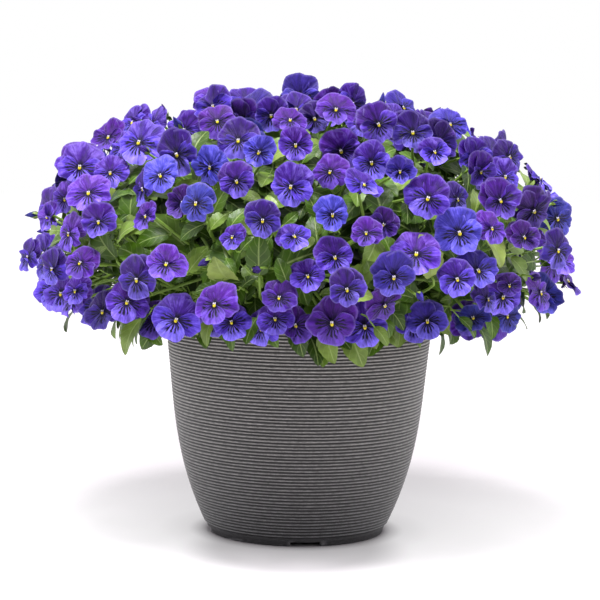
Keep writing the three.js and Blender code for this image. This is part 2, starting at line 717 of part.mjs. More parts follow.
planter.add(meshOf('pot', buildPot(), potPlastic));
planter.add(meshOf('soil', buildSoil([...bloomBranches, ...leafBranches]), pottingSoil));
bloomBranches.forEach((branch, i) => {
  const name = `bloom_spray_${String(i + 1).padStart(2, '0')}`;
  planter.add(meshOf(name, buildBranch(branch, bloomSolid), violetPetal));
});
leafBranches.forEach((branch, i) => {
  const name = `leafy_stem_${String(i + 1).padStart(2, '0')}`;
  planter.add(meshOf(name, buildBranch(branch, leafSolid), leafGreen));
});

export default planter;
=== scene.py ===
"""Looks for the potted viola planter: a ribbed pot of soil under a dome of violet blooms and leaves.

Lengths are in millimetres in the classes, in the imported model's frame, and meshes are made in metres.
"""

import logging
import math
from collections import defaultdict
from collections.abc import Callable
from dataclasses import dataclass, field
from enum import Enum
from functools import partial
from typing import ClassVar

import bpy
import numpy as np
from mathutils import Matrix, Vector


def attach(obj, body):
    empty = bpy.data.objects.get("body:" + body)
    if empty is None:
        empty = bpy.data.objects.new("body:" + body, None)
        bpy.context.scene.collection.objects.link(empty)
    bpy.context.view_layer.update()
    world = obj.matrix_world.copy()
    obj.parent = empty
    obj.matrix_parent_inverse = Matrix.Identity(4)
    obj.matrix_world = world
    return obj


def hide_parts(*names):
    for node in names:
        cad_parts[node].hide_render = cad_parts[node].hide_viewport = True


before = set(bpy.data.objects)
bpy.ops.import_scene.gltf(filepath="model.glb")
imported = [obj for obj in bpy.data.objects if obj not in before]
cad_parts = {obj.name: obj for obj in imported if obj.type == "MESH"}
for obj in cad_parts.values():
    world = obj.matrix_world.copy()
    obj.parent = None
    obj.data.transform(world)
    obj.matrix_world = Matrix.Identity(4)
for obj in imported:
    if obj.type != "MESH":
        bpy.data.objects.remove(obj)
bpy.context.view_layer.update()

log = logging.getLogger("planter")

Array = np.ndarray
Draws = np.random.Generator
Material = bpy.types.Material
Socket = bpy.types.NodeSocket
Tree = bpy.types.NodeTree
Adder = Callable[..., Socket]  # add_node, for one tree
Shader = dict[str, object]  # a number, a hex colour or a socket for each input of the Principled shader

MM = 0.001
UP = np.array([0.0, 0.0, 1.0])
BLEND = {"out": 2, "data_type": "RGBA"}  # makes a Mix node mix colours
NUMBER = {"out": "Fac"}  # takes an Attribute node's number
SOFT = {"interpolation_type": "SMOOTHSTEP"}  # eases a Map Range node at both ends

# Numbers that describe the solids, repeated from the part so that the fine pieces keep their form.
POT_HEIGHT = 209.0
RIM_RADIUS = 127.0
FOOT_RADIUS = 82.0
SOIL_TOP = 189.0
HEART = np.array([0.0, 0.0, 215.0])  # stems and leaves spread from about here
LEAF_LENGTH = 43.0  # of the leaf that the droop is given for
LEAF_WIDTH = 0.62  # as a share of its length
LEAF_DROOP = 5.0
LEAF_FOLD = 0.22
LEAF_THICKNESS = 1.5
NECK_DEPTH = 3.0  # of a bloom's neck behind its middle
BLOOM_RADIUS = 17.0  # of the bloom that the petals' waves are given for
PETAL_MESHES = 4  # the petals are shared out among so many pieces


def linear(code: str) -> tuple[float, float, float, float]:
    """Turns an sRGB hex colour into linear light.

    Args:
        code: The colour as "#rrggbb".

    Returns:
        Linear red, green and blue, and an alpha of 1.
    """
    shares = [int(code[i : i + 2], 16) / 255 for i in (1, 3, 5)]
    light = [s / 12.92 if s <= 0.04045 else ((s + 0.055) / 1.055) ** 2.4 for s in shares]
    return (*light, 1.0)


def per_metre(size: float) -> float:
    """How often a pattern of this size in millimetres comes in a metre."""
    return 1 / (size * MM)


def plug(tree: Tree, node: bpy.types.Node, inputs: dict) -> None:
    """Sets or links a node's inputs.

    Args:
        tree: The nodes that it is one of.
        node: The node.
        inputs: A number, a hex colour or a socket for each input, by name or number.
    """
    for name, value in inputs.items():
        if isinstance(value, Socket):
            tree.links.new(value, node.inputs[name])
        else:
            node.inputs[name].default_value = linear(value) if isinstance(value, str) else value


def add_node(
    tree: Tree,
    kind: str,
    inputs: dict | tuple = (),
    stops: tuple[tuple[float, str | float], ...] = (),
    out: int | str = 0,
    **settings: object,
) -> Socket:
    """Adds a shader node with its settings and links.

    Args:
        tree: The material's or the world's nodes.
        kind: The node's type, such as "Math".
        inputs: What plug takes, or a tuple of the same in the order of the node's inputs.
        stops: The place of each stop of a colour ramp, and its hex colour or its grey.
        out: The output that is wanted.
        settings: The node's own properties.

    Returns:
        The output's socket.
    """
    node = tree.nodes.new("ShaderNode" + kind)
    for name, value in settings.items():
        setattr(node, name, value)
    plug(tree, node, inputs if isinstance(inputs, dict) else dict(enumerate(inputs)))
    for i, (place, colour) in enumerate(stops):
        ramp = node.color_ramp.elements
        stop = ramp[i] if i < 2 else ramp.new(place)
        stop.position = place
        stop.color = linear(colour) if isinstance(colour, str) else (colour, colour, colour, 1.0)
    return node.outputs[out]


def unit(vectors: Array) -> Array:
    """Scales one vector, or one on each row, to a length of 1."""
    return vectors / np.linalg.norm(vectors, axis=-1, keepdims=True)


def columns(x: Array, y: Array, z: Array) -> Array:
    """Turns grids of coordinates into points, one on each row."""
    return np.stack([np.ravel(x), np.ravel(y), np.ravel(z)], axis=1)


def circle(count: int) -> Array:
    """Angles evenly round a circle, in radians."""
    return np.linspace(0, 2 * math.pi, count, endpoint=False)


def turned(out: Array, aside: Array, angle: float) -> tuple[Array, Array]:
    """Turns a place, given outward and aside, by an angle about the origin."""
    return out * math.cos(angle) - aside * math.sin(angle), out * math.sin(angle) + aside * math.cos(angle)


def basis(x: Array, y: Array, z: Array, origin: Array) -> Array:
    """Packs three directions and an origin into the columns of a 4 by 4 matrix."""
    return np.vstack([np.column_stack([x, y, z, origin]), [0.0, 0.0, 0.0, 1.0]])


def leaf_frame(along: Array, facing: Array, base: Array) -> Array:
    """The frame of a leaf that grows along Y from its base and faces along Z."""
    return basis(np.cross(along, facing), along, facing, base)


def moved(points: Array | list[float], matrix: Array) -> Array:
    """Carries one point, or one on each row, from a local frame into the part's."""
    return np.asarray(points) @ matrix[:3, :3].T + matrix[:3, 3]


def grid_quads(rows: int, cols: int, wrap: bool = False) -> Array:
    """Four-cornered faces over a grid of points.

    Args:
        rows: Points along the grid.
        cols: Points across it.
        wrap: True joins the last column to the first.

    Returns:
        The faces' corner numbers.
    """
    index = np.arange(rows * cols).reshape(rows, cols)
    if wrap:
        index = np.hstack([index, index[:, :1]])
    corners = [index[:-1, :-1], index[:-1, 1:], index[1:, 1:], index[1:, :-1]]
    return np.stack([c.ravel() for c in corners], axis=1)


def shell(first: float, last: float, rows: int, cols: int) -> tuple[Array, Array]:
    """Part of a ball of radius 1.

    Args:
        first: Where it starts below the top, as a share of the way down.
        last: Where it ends.
        rows: Rings of points down it.
        cols: Points round it.

    Returns:
        Its points and its faces.
    """
    rise, turn = np.meshgrid(np.linspace(first, last, rows) * math.pi, circle(cols), indexing="ij")
    points = columns(np.sin(rise) * np.cos(turn), np.sin(rise) * np.sin(turn), np.cos(rise))
    return points, grid_quads(rows, cols, wrap=True)[:, ::-1]


def tube(path: Array, radii: Array, sides: int) -> tuple[Array, Array]:
    """A round tube along a path, drawn in to a point at its far end.

    Args:
        path: The points that it follows.
        radii: Its radius at each of them.
        sides: Corners round it.

    Returns:
        Its points and its faces.
    """
    path = np.vstack([path, path[-1] + (path[-1] - path[-2]) * 0.02])
    radii = np.append(radii, 0.02)
    ahead = unit(np.gradient(path, axis=0))
    side = np.cross(ahead[0], UP if abs(ahead[0][2]) < 0.9 else np.array([1.0, 0.0, 0.0]))
    turn = circle(sides)
    rings = []
    for centre, direction, radius in zip(path, ahead, radii):
        side = unit(side - side.dot(direction) * direction)
        other = np.cross(direction, side)
        rings.append(centre + radius * (np.outer(np.cos(turn), side) + np.outer(np.sin(turn), other)))
    return np.vstack(rings), grid_quads(len(path), sides, wrap=True)


def bend(points: list[Array], count: int) -> Array:
    """A smooth curve through a few points.

    Args:
        points: The points, first to last.
        count: How many points the curve is cut into.

    Returns:
        Points along the curve.
    """
    ends = [2 * points[0] - points[1], *points, 2 * points[-1] - points[-2]]
    spans = len(points) - 1
    curve = []
    for t in np.linspace(0, spans, count):
        i = min(int(t), spans - 1)
        u = t - i
        a, b, c, d = ends[i : i + 4]
        square = (2 * a - 5 * b + 4 * c - d) * u**2
        curve.append(0.5 * (2 * b + (c - a) * u + square + (3 * b - a - 3 * c + d) * u**3))
    return np.array(curve)


class Channel(Enum):
    """Numbers that a mesh carries for its finish to read at each point."""

    ACROSS = "across"
    ALONG = "along"
    KIND = "kind"
    TONE = "tone"


class Batch:
    """Gathers many small surfaces into one mesh."""

    def __init__(self) -> None:
        """Starts with no surface."""
        self.points: list[Array] = []
        self.quads: list[Array] = []
        self.data: dict[Channel, list[Array]] = defaultdict(list)
        self.count = 0

    def add(
        self,
        points: Array,
        quads: Array,
        across: float | Array = 0.0,
        along: float | Array = 0.0,
        kind: float | Array = 0.0,
        tone: float | Array = 0.0,
    ) -> None:
        """Adds one surface.

        Args:
            points: Its points in the part's frame.
            quads: Its faces.
            across: What it carries in each channel, one number or one for each point.
            along: The same.
            kind: The same.
            tone: The same.
        """
        self.points.append(points)
        self.quads.append(quads + self.count)
        self.count += len(points)
        for channel, numbers in zip(Channel, (across, along, kind, tone)):
            self.data[channel].append(np.broadcast_to(np.ravel(numbers), (len(points),)))

    def add_stalk(
        self, path: Array, radii: Array, sides: int, ends: tuple[float, float], tone: float = 0.0
    ) -> None:
        """Adds one tube of stem.

        Args:
            path: The points that it follows.
            radii: Its radius at each of them.
            sides: Corners round it.
            ends: What ALONG is at its two ends.
            tone: Its TONE.
        """
        points, quads = tube(path, radii, sides)
        self.add(points, quads, along=np.repeat(np.linspace(*ends, len(path) + 1), sides), tone=tone)

    def piece(self, name: str, material: Material, slot: str, nodes: tuple[str, ...] = ()) -> None:
        """Makes the mesh object, and sets it on its body.

        Args:
            name: The piece's name.
            material: Its finish.
            slot: The record's material slot. It is not used.
            nodes: The CAD nodes that it stands for.
        """
        points = np.vstack(self.points) * MM
        quads = np.vstack(self.quads)
        mesh = bpy.data.meshes.new(name)
        mesh.vertices.add(len(points))
        mesh.vertices.foreach_set("co", points.ravel().astype(np.float32))
        mesh.loops.add(quads.size)
        mesh.loops.foreach_set("vertex_index", quads.ravel().astype(np.int32))
        mesh.polygons.add(len(quads))
        mesh.polygons.foreach_set("loop_start", np.arange(0, quads.size, 4, dtype=np.int32))
        mesh.update(calc_edges=True)
        mesh.shade_smooth()
        for channel in Channel:
            numbers = mesh.attributes.new(channel.value, "FLOAT", "POINT")
            numbers.data.foreach_set("value", np.concatenate(self.data[channel]).astype(np.float32))
        mesh.materials.append(material)
        piece = bpy.data.objects.new(name, mesh)
        bpy.context.scene.collection.objects.link(piece)
        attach(piece, "root")
        if nodes:
            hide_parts(*nodes)
        log.info("%s: %d points, %d triangles", name, len(points), 2 * len(quads))


Meshes = dict[str, Batch]  # by the pieces' names


# Finishes


class Finish:
    """What all finishes share: their nodes feed the Principled shader of a new material."""

    title: ClassVar[str] = ""

    def shader(self, add: Adder, place: Socket) -> Shader:
        """The shader's inputs, which each finish gives in its own way."""
        return {}

    def build(self) -> Material:
        """Makes the material.

        Returns:
            The material.
        """
        material = bpy.data.materials.new(self.title)
        material.use_nodes = True
        tree = material.node_tree
        add = partial(add_node, tree)
        plug(tree, tree.nodes["Principled BSDF"], self.shader(add, add("TexCoord", out="Object")))
        return material


@dataclass(frozen=True)
class MouldedPolypropylene(Finish):
    """Satin grey polypropylene, moulded with ribs whose crests are coloured lighter, partly a dry-brushed
    finish and partly painted highlight.
    """

    title: ClassVar[str] = "moulded polypropylene"
    groove: str = "#121113"
    # The crests' lighter colour is partly a brushed finish and partly painted highlight.
    crest: str = "#adaaa6"
    # The crests' colour at the bottom is darker, as painted shade.
    shaded_low_crest: str = "#6b6a6d"
    grit: float = 1.0  # the real 0.5 mm is too fine to show, and is drawn twice as coarse
    # The streaks are partly brushed colour and partly painted glints.
    streak: float = 5.263  # of the brush, round the wall
    scrape: float = 22.222  # of the scuffs on the foot

    def shader(self, add: Adder, place: Socket) -> Shader:
        """Feeds the shader.

        Args:
            add: Adds a node.
            place: Where each point is.

        Returns:
            The shader's inputs. ALONG is read as height, and KIND as nearness to a crest.
        """
        height = add("Attribute", attribute_name=Channel.ALONG.value, **NUMBER)
        crest = add("Attribute", attribute_name=Channel.KIND.value, **NUMBER)
        # The crests are coloured lighter in broken streaks that run round the wall, partly brushed colour and
        # partly painted glints.
        wide = add("Mapping", {"Vector": place, "Scale": (1.0, 1.0, 6.0)})
        streaks = add(
            "TexNoise", {"Vector": wide, "Scale": per_metre(self.streak), "Detail": 4.0, "Roughness": 0.68}
        )
        grit = add("TexNoise", {"Vector": place, "Scale": per_metre(self.grit), "Detail": 2.0})
        glints = add("MapRange", (streaks, 0.32, 0.66, 0.5, 1.3))
        specks = add("MapRange", (grit, 0.3, 0.7, 0.75, 1.2))
        worn_and_glinting = add("Math", (glints, specks), operation="MULTIPLY")
        brush_wear_and_highlight = add("Math", (crest, worn_and_glinting), operation="MULTIPLY", use_clamp=True)
        # The foot is scuffed where it is dragged over the ground.
        scrapes = add(
            "TexNoise", {"Vector": wide, "Scale": per_metre(self.scrape), "Detail": 3.0, "Roughness": 0.7}
        )
        scuffed = add("MapRange", (scrapes, 0.53, 0.66, 0.0, 0.9))
        low = add("MapRange", (height, 0.035, 0.006))
        scuffed = add("Math", (scuffed, low), operation="MULTIPLY")
        brush_wear_and_highlight = add("Math", (brush_wear_and_highlight, scuffed), operation="MAXIMUM")
        # The crests' lighter colour is painted darker towards the bottom, as painted shade.
        light = add("Mix", {0: height, 6: self.shaded_low_crest, 7: self.crest}, **BLEND)
        return {
            "Base Color": add("Mix", {0: brush_wear_and_highlight, 6: self.groove, 7: light}, **BLEND),
            "Normal": add("Bump", {"Height": grit, "Strength": 0.35, "Distance": 0.3 * MM}),
            "Roughness": 0.48,
            "IOR": 1.49,
            "Specular IOR Level": 0.3,
        }


@dataclass(frozen=True)
class BarkMix(Finish):
    """Damp potting mix of composted bark: dark brown and crumbly, with no shine."""

    title: ClassVar[str] = "composted bark mix"
    dark: str = "#1d140d"
    light: str = "#4a3826"
    crumb: float = 4.0  # across
    fine: float = 1.0  # of the dust on the crumbs

    def shader(self, add: Adder, place: Socket) -> Shader:
        """Feeds the shader.

        Args:
            add: Adds a node.
            place: Where each point is.

        Returns:
            The shader's inputs.
        """
        crumbs = add("TexVoronoi", {"Vector": place, "Scale": per_metre(self.crumb)})
        fines = add("TexNoise", {"Vector": place, "Scale": per_metre(self.fine), "Detail": 5.0})
        coarse = add("Bump", {"Height": crumbs, "Strength": 0.8, "Distance": 2 * MM}, invert=True)
        return {
            "Base Color": add("ValToRGB", (fines,), ((0.35, self.dark), (0.68, self.light))),
            "Normal": add("Bump", {"Height": fines, "Strength": 0.6, "Distance": 0.6 * MM, "Normal": coarse}),
            "Roughness": 0.95,
        }


@dataclass(frozen=True)
class VelvetPetal(Finish):
    """A viola petal: velvety violet with fine veins, darker at the throat, and near-black whiskers."""

    title: ClassVar[str] = "velvet viola petal"
    upper: str = "#360f7c"
    side: str = "#4328a8"
    lower: str = "#7362de"
    blue: str = "#3a48bc"
    purple: str = "#54128e"
    # The margin colour is partly the petals' pale edge and partly painted highlight.
    margin: str = "#a898f0"
    whisker: str = "#0c0322"
    whiskers: float = 3.6  # on each side of a petal's middle
    waver: float = 3.3333  # millimetres from one swing of a whisker to the next
    mottle: float = 4.5455  # across a patch of deeper colour

    def hue(self, add: Adder, kind: Socket, tone: Socket) -> Socket:
        """Colours a petal by its place in the bloom and by its bloom's age.

        Args:
            add: Adds a node.
            kind: Which petal it is.
            tone: The bloom's age, from purple at 0 to blue at 1.

        Returns:
            The colour.
        """
        share = add("Math", (kind, PetalKind.LOWER.value), operation="DIVIDE")
        own = add("ValToRGB", (share,), ((0.0, self.upper), (0.5, self.side), (1.0, self.lower)))
        purple = add("MapRange", (tone, 0.5, 0.0, 0.0, 0.7))
        warm = add("Mix", {0: purple, 6: own, 7: self.purple}, **BLEND)
        blue = add("MapRange", (tone, 0.8, 1.0, 0.0, 0.7))
        return add("Mix", {0: blue, 6: warm, 7: self.blue}, **BLEND)

    def marks(self, add: Adder, place: Socket, across: Socket, along: Socket, kind: Socket) -> Socket:
        """Draws the whiskers, which run out from the throat and are longest in the middle of the petal.

        Args:
            add: Adds a node.
            place: Where each point is.
            across: Place across the petal, from -1 to 1.
            along: Place along it, from 0 to 1.
            kind: Which petal it is: an upper one has only the dark throat.

        Returns:
            How dark each place is, from 0 to 1.
        """
        swing = add("TexNoise", {"Vector": place, "Scale": per_metre(self.waver), "Detail": 1.0})
        line = add("Math", (across, self.whiskers, swing), operation="MULTIPLY_ADD")
        line = add("Math", (line, 0.5), operation="PINGPONG")
        line = add("MapRange", (line, 0.18, 0.31), **SOFT)
        spread = add("Math", (across, across), operation="MULTIPLY")
        reach = add("Math", (spread, -0.42, 0.7), operation="MULTIPLY_ADD")
        ragged = add("Math", (swing, 0.3, reach), operation="MULTIPLY_ADD")
        left = add("Math", (ragged, along), operation="SUBTRACT")
        within = add("MapRange", (left, 0.1, 0.28), **SOFT)
        marked = add("Math", (kind, 1.0), operation="MINIMUM")
        line = add("Math", (line, within), operation="MULTIPLY")
        line = add("Math", (line, marked), operation="MULTIPLY")
        blotch = add("MapRange", (along, 0.36, 0.16, 0.0, 0.92), **SOFT)
        return add("Math", (line, blotch), operation="MAXIMUM")

    def shader(self, add: Adder, place: Socket) -> Shader:
        """Feeds the shader.

        Args:
            add: Adds a node.
            place: Where each point is.

        Returns:
            The shader's inputs. KIND is read as which petal it is, and TONE as its bloom's age.
        """
        across, along, kind, tone = (
            add("Attribute", attribute_name=channel.value, **NUMBER) for channel in Channel
        )
        # Fine veins fan out from the throat, about 0.8 mm apart at the edge, over broader creases.
        aside = add("Math", (tone, 90.0, across), operation="MULTIPLY_ADD")
        fan = add("CombineXYZ", (aside, along, kind))
        near = add("Mapping", {"Vector": fan, "Scale": (9.0, 1.2, 7.0)})
        veins = add("TexNoise", {"Vector": near, "Scale": 1.7, "Detail": 3.0, "Roughness": 0.7})
        broad = add("Mapping", {"Vector": fan, "Scale": (3.2, 1.0, 5.0)})
        creases = add("TexNoise", {"Vector": broad, "Scale": 1.1, "Detail": 1.0})
        mottle = add("TexNoise", {"Vector": place, "Scale": per_metre(self.mottle), "Detail": 3.0})
        shade = add("Math", (veins, creases), operation="ADD")
        shade = add("Math", (mottle, 0.6, shade), operation="MULTIPLY_ADD")
        shade = add("MapRange", (shade, 0.95, 1.65, 0.4, 1.68))
        # A petal pales towards its edge, where its margin catches the light.
        pale = add("MapRange", (along, 0.2, 1.0, 0.75, 1.2))
        shade = add("Math", (shade, pale), operation="MULTIPLY")
        # Blooms of one plant differ in depth of colour.
        lot = add("Math", (tone, 7.3), operation="MULTIPLY")
        lot = add("Math", (lot,), operation="FRACT")
        depth = add("MapRange", (lot, 0.0, 1.0, 0.5, 1.24))
        shade = add("Math", (shade, depth), operation="MULTIPLY")
        body = add("VectorMath", (self.hue(add, kind, tone), shade), operation="MULTIPLY")
        # Its edge is coloured towards the pale margin, partly the petal's own pale edge and partly painted
        # highlight.
        rim = add("MapRange", (along, 0.9, 1.0, 0.0, 0.24))
        # Its brightest folds are painted paler as well, as painted highlight.
        painted_fold_highlight = add("MapRange", (shade, 1.2, 2.3, 0.0, 0.35))
        rim = add("Math", (rim, painted_fold_highlight), operation="MAXIMUM")
        edged = add("Mix", {0: rim, 6: body, 7: self.margin}, **BLEND)
        dark = self.marks(add, place, across, along, kind)
        folds = add("Bump", {"Height": creases, "Strength": 1.0, "Distance": 3.2 * MM})
        return {
            "Base Color": add("Mix", {0: dark, 6: edged, 7: self.whisker}, **BLEND),
            "Normal": add("Bump", {"Height": veins, "Strength": 0.9, "Distance": 1.1 * MM, "Normal": folds}),
            "Roughness": 0.5,
            "IOR": 1.4,
            "Specular IOR Level": 0.35,
            "Sheen Weight": 0.12,
            "Sheen Roughness": 0.4,
            "Sheen Tint": "#9a8cff",
        }


@dataclass(frozen=True)
class ThroatColour(Finish):
    """The bloom's eye: a waxy yellow lip with white hairs over it, round a near-black lobe of painted shade
    in the throat.
    """

    title: ClassVar[str] = "viola throat"
    yellow: str = "#dcc81e"
    white: str = "#cfc6dc"
    # Near-black, as painted shade in the throat.
    opening_shade: str = "#2a2410"
    hair: float = 1.1111  # the real hairs are too fine to show, and tufts of them are drawn

    def shader(self, add: Adder, place: Socket) -> Shader:
        """Feeds the shader.

        Args:
            add: Adds a node.
            place: Where each point is.

        Returns:
            The shader's inputs. KIND is read as the part of the eye.
        """
        kind = add("Attribute", attribute_name=Channel.KIND.value, **NUMBER)
        fluff = add("TexNoise", {"Vector": place, "Scale": per_metre(self.hair)})
        share = add("Math", (kind, EyePart.OPENING.value), operation="DIVIDE")
        hue = add("ValToRGB", (share,), ((0.0, self.yellow), (0.5, self.white), (1.0, self.opening_shade)))
        shade = add("MapRange", (fluff, 0.3, 0.7, 0.75, 1.1))
        return {"Base Color": add("VectorMath", (hue, shade), operation="MULTIPLY"), "Roughness": 0.6}


@dataclass(frozen=True)
class LeafGreen(Finish):
    """A living leaf: waxy green with a paler rib and faint side veins, and yellower when young; its darkest
    green is partly painted shade and its yellowest partly painted sheen.
    """

    title: ClassVar[str] = "viola leaf"
    # The darkest green is partly the leaves' own colour and partly painted shade deep in the bush.
    deep: str = "#192e03"
    middle: str = "#46680e"
    # The yellowest green is partly young growth and partly painted sheen.
    young: str = "#9bad59"
    vein: str = "#a4b870"
    side_veins: float = 4.6  # from its base to its tip
    pucker: float = 9.0909  # from one vein to the next
    pore: float = 1.4286  # real pores are too fine to show, and are drawn as coarse as this

    def shader(self, add: Adder, place: Socket) -> Shader:
        """Feeds the shader.

        Args:
            add: Adds a node.
            place: Where each point is.

        Returns:
            The shader's inputs. TONE is read as how light the leaf's green is.
        """
        across, along, tone = (
            add("Attribute", attribute_name=channel.value, **NUMBER)
            for channel in (Channel.ACROSS, Channel.ALONG, Channel.TONE)
        )
        own = add("ValToRGB", (tone,), ((0.0, self.deep), (0.5, self.middle), (1.0, self.young)))
        # The side veins leave the rib at a slant.
        away = add("Math", (across,), operation="ABSOLUTE")
        slant = add("Math", (away, -0.3, along), operation="MULTIPLY_ADD")
        ladder = add("Math", (slant, self.side_veins), operation="MULTIPLY")
        ladder = add("Math", (ladder, 0.5), operation="PINGPONG")
        side = add("MapRange", (ladder, 0.11, 0.0), **SOFT)
        rib = add("MapRange", (away, 0.11, 0.02), **SOFT)
        blotch = add("TexNoise", {"Vector": place, "Scale": per_metre(self.pucker), "Detail": 3.0})
        pores = add("TexNoise", {"Vector": place, "Scale": per_metre(self.pore), "Detail": 2.0})
        shade = add("MapRange", (blotch, 0.3, 0.7, 0.75, 1.25))
        body = add("VectorMath", (own, shade), operation="MULTIPLY")
        lines = add("Math", (side, 0.35), operation="MULTIPLY")
        lines = add("Math", (lines, rib), operation="MAXIMUM")
        faint = add("Math", (lines, 0.5), operation="MULTIPLY")
        # The rib and the side veins are sunk a little, and the blade between them is softly puckered.
        sunk = add("Bump", {"Height": lines, "Strength": 0.5, "Distance": 0.5 * MM}, invert=True)
        soft = add("Bump", {"Height": blotch, "Strength": 0.6, "Distance": 1.6 * MM, "Normal": sunk})
        return {
            "Base Color": add("Mix", {0: faint, 6: body, 7: self.vein}, **BLEND),
            "Normal": add("Bump", {"Height": pores, "Strength": 0.3, "Distance": 0.15 * MM, "Normal": soft}),
            "Roughness": 0.4,
            "IOR": 1.45,
            "Specular IOR Level": 0.4,
        }


@dataclass(frozen=True)
class StemGreen(Finish):
    """The smooth skin of a young stem: pale green, darker towards the soil."""

    title: ClassVar[str] = "viola stem"
    pale: str = "#7f9f3f"
    dark: str = "#41591d"
    grain: float = 4.5455  # across a paler patch

    def shader(self, add: Adder, place: Socket) -> Shader:
        """Feeds the shader.

        Args:
            add: Adds a node.
            place: Where each point is.

        Returns:
            The shader's inputs. ALONG is read from the soil to the bloom.
        """
        along = add("Attribute", attribute_name=Channel.ALONG.value, **NUMBER)
        grain = add("TexNoise", {"Vector": place, "Scale": per_metre(self.grain), "Detail": 3.0})
        share = add("Math", (grain, 0.5, along), operation="MULTIPLY_ADD")
        return {
            "Base Color": add("ValToRGB", (share,), ((0.25, self.dark), (1.0, self.pale))),
            "Normal": add("Bump", {"Height": grain, "Strength": 0.2, "Distance": 0.3 * MM}),
            "Roughness": 0.5,
        }


@dataclass(frozen=True)
class PaleFloor(Finish):
    """Pale matt studio paper, lit from within a little past white, as the photograph's is."""

    title: ClassVar[str] = "pale studio floor"
    dark: str = "#a29ca1"
    light: str = "#a6a0a5"
    cloud: float = 333.33  # across a faint patch of the paper
    # The floor's emission is painted light, a little past white.
    painted_glow: float = 0.66
    # Its shares by distance paint a contact shadow, from none under the pot to full away from it.
    shares: tuple[tuple[float, float], ...] = (  # of the glow, by metres from the pot's middle
        (0.083, 0.0),
        (0.087, 0.36),
        (0.1, 0.84),
        (0.13, 0.99),
        (0.2, 1.06),
        (0.5, 1.0),
        (1.0, 1.06),
    )

    def shader(self, add: Adder, place: Socket) -> Shader:
        """Feeds the shader.

        Args:
            add: Adds a node.
            place: Where each point is.

        Returns:
            The shader's inputs.
        """
        grain = add("TexNoise", {"Vector": place, "Scale": per_metre(self.cloud), "Detail": 2.0})
        # The floor's painted light is darkened towards the pot and is dark under it, as a painted contact
        # shadow.
        # It is darkened once more in a wide patch behind the pot, and a painted soft shadow of the pot falls
        # forward.
        far = add("VectorMath", (place,), out="Value", operation="LENGTH")
        light = add("ValToRGB", (far,), tuple((way, share * self.painted_glow) for way, share in self.shares))
        for middle, scale, inner, outer, least in (
            ((0.0, -0.362, 0.0), (1.0, 0.739, 1.0), 0.15, 0.448, 0.471),
            ((0.0, 0.84, 0.0), (9.8, 8.8, 1.0), 0.62, 1.08, 0.49),
        ):
            oval = add("Mapping", {"Vector": place, "Location": middle, "Scale": scale})
            off = add("VectorMath", (oval,), out="Value", operation="LENGTH")
            painted_shadow = add("MapRange", (off, inner, outer, least, 1.0), **SOFT)
            light = add("Math", (light, painted_shadow), operation="MULTIPLY")
        return {
            "Base Color": add("ValToRGB", (grain,), ((0.3, self.dark), (0.7, self.light))),
            "Roughness": 0.9,
            "Specular IOR Level": 0.2,
            "Emission Color": "#ffffff",
            "Emission Strength": light,
        }


# Reading the solids


class NodeSolid:
    """A CAD node's corners, and which corners follow each other round each of them."""

    def __init__(self, name: str) -> None:
        """Reads one node.

        Args:
            name: The node's name.
        """
        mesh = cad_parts[name].data
        corners = np.empty(len(mesh.vertices) * 3)
        mesh.vertices.foreach_get("co", corners)
        loops = np.empty(len(mesh.loops), dtype=np.int32)
        mesh.loops.foreach_get("vertex_index", loops)
        places = np.round(corners.reshape(-1, 3) / MM, 3)
        self.points, index = np.unique(places, axis=0, return_inverse=True)
        self.after: dict[int, dict[int, int]] = defaultdict(dict)
        for a, b, c in index.reshape(-1)[loops].reshape(-1, 3).tolist():
            self.after[a][b], self.after[b][c], self.after[c][a] = c, a, b

    def fan(self, corner: int) -> Array:
        """The corners round one corner.

        Args:
            corner: Its number.

        Returns:
            Their places, in anticlockwise order.
        """
        follow = self.after[corner]
        run = [next(iter(follow))]
        while len(run) < len(follow) and follow.get(run[-1]) is not None:
            run.append(follow[run[-1]])
        return self.points[run]

    def hubs(self, count: int) -> list[int]:
        """Numbers of the corners with so many others round them."""
        return [corner for corner, follow in self.after.items() if len(follow) == count]


@dataclass
class Bloom:
    """Where one bloom is, how large, and on which spray."""

    matrix: Array
    radius: float
    branch: int


@dataclass
class Blade:
    """Where one leaf is, how long, and on which stem. It grows along Y from its base."""

    matrix: Array
    length: float
    branch: int


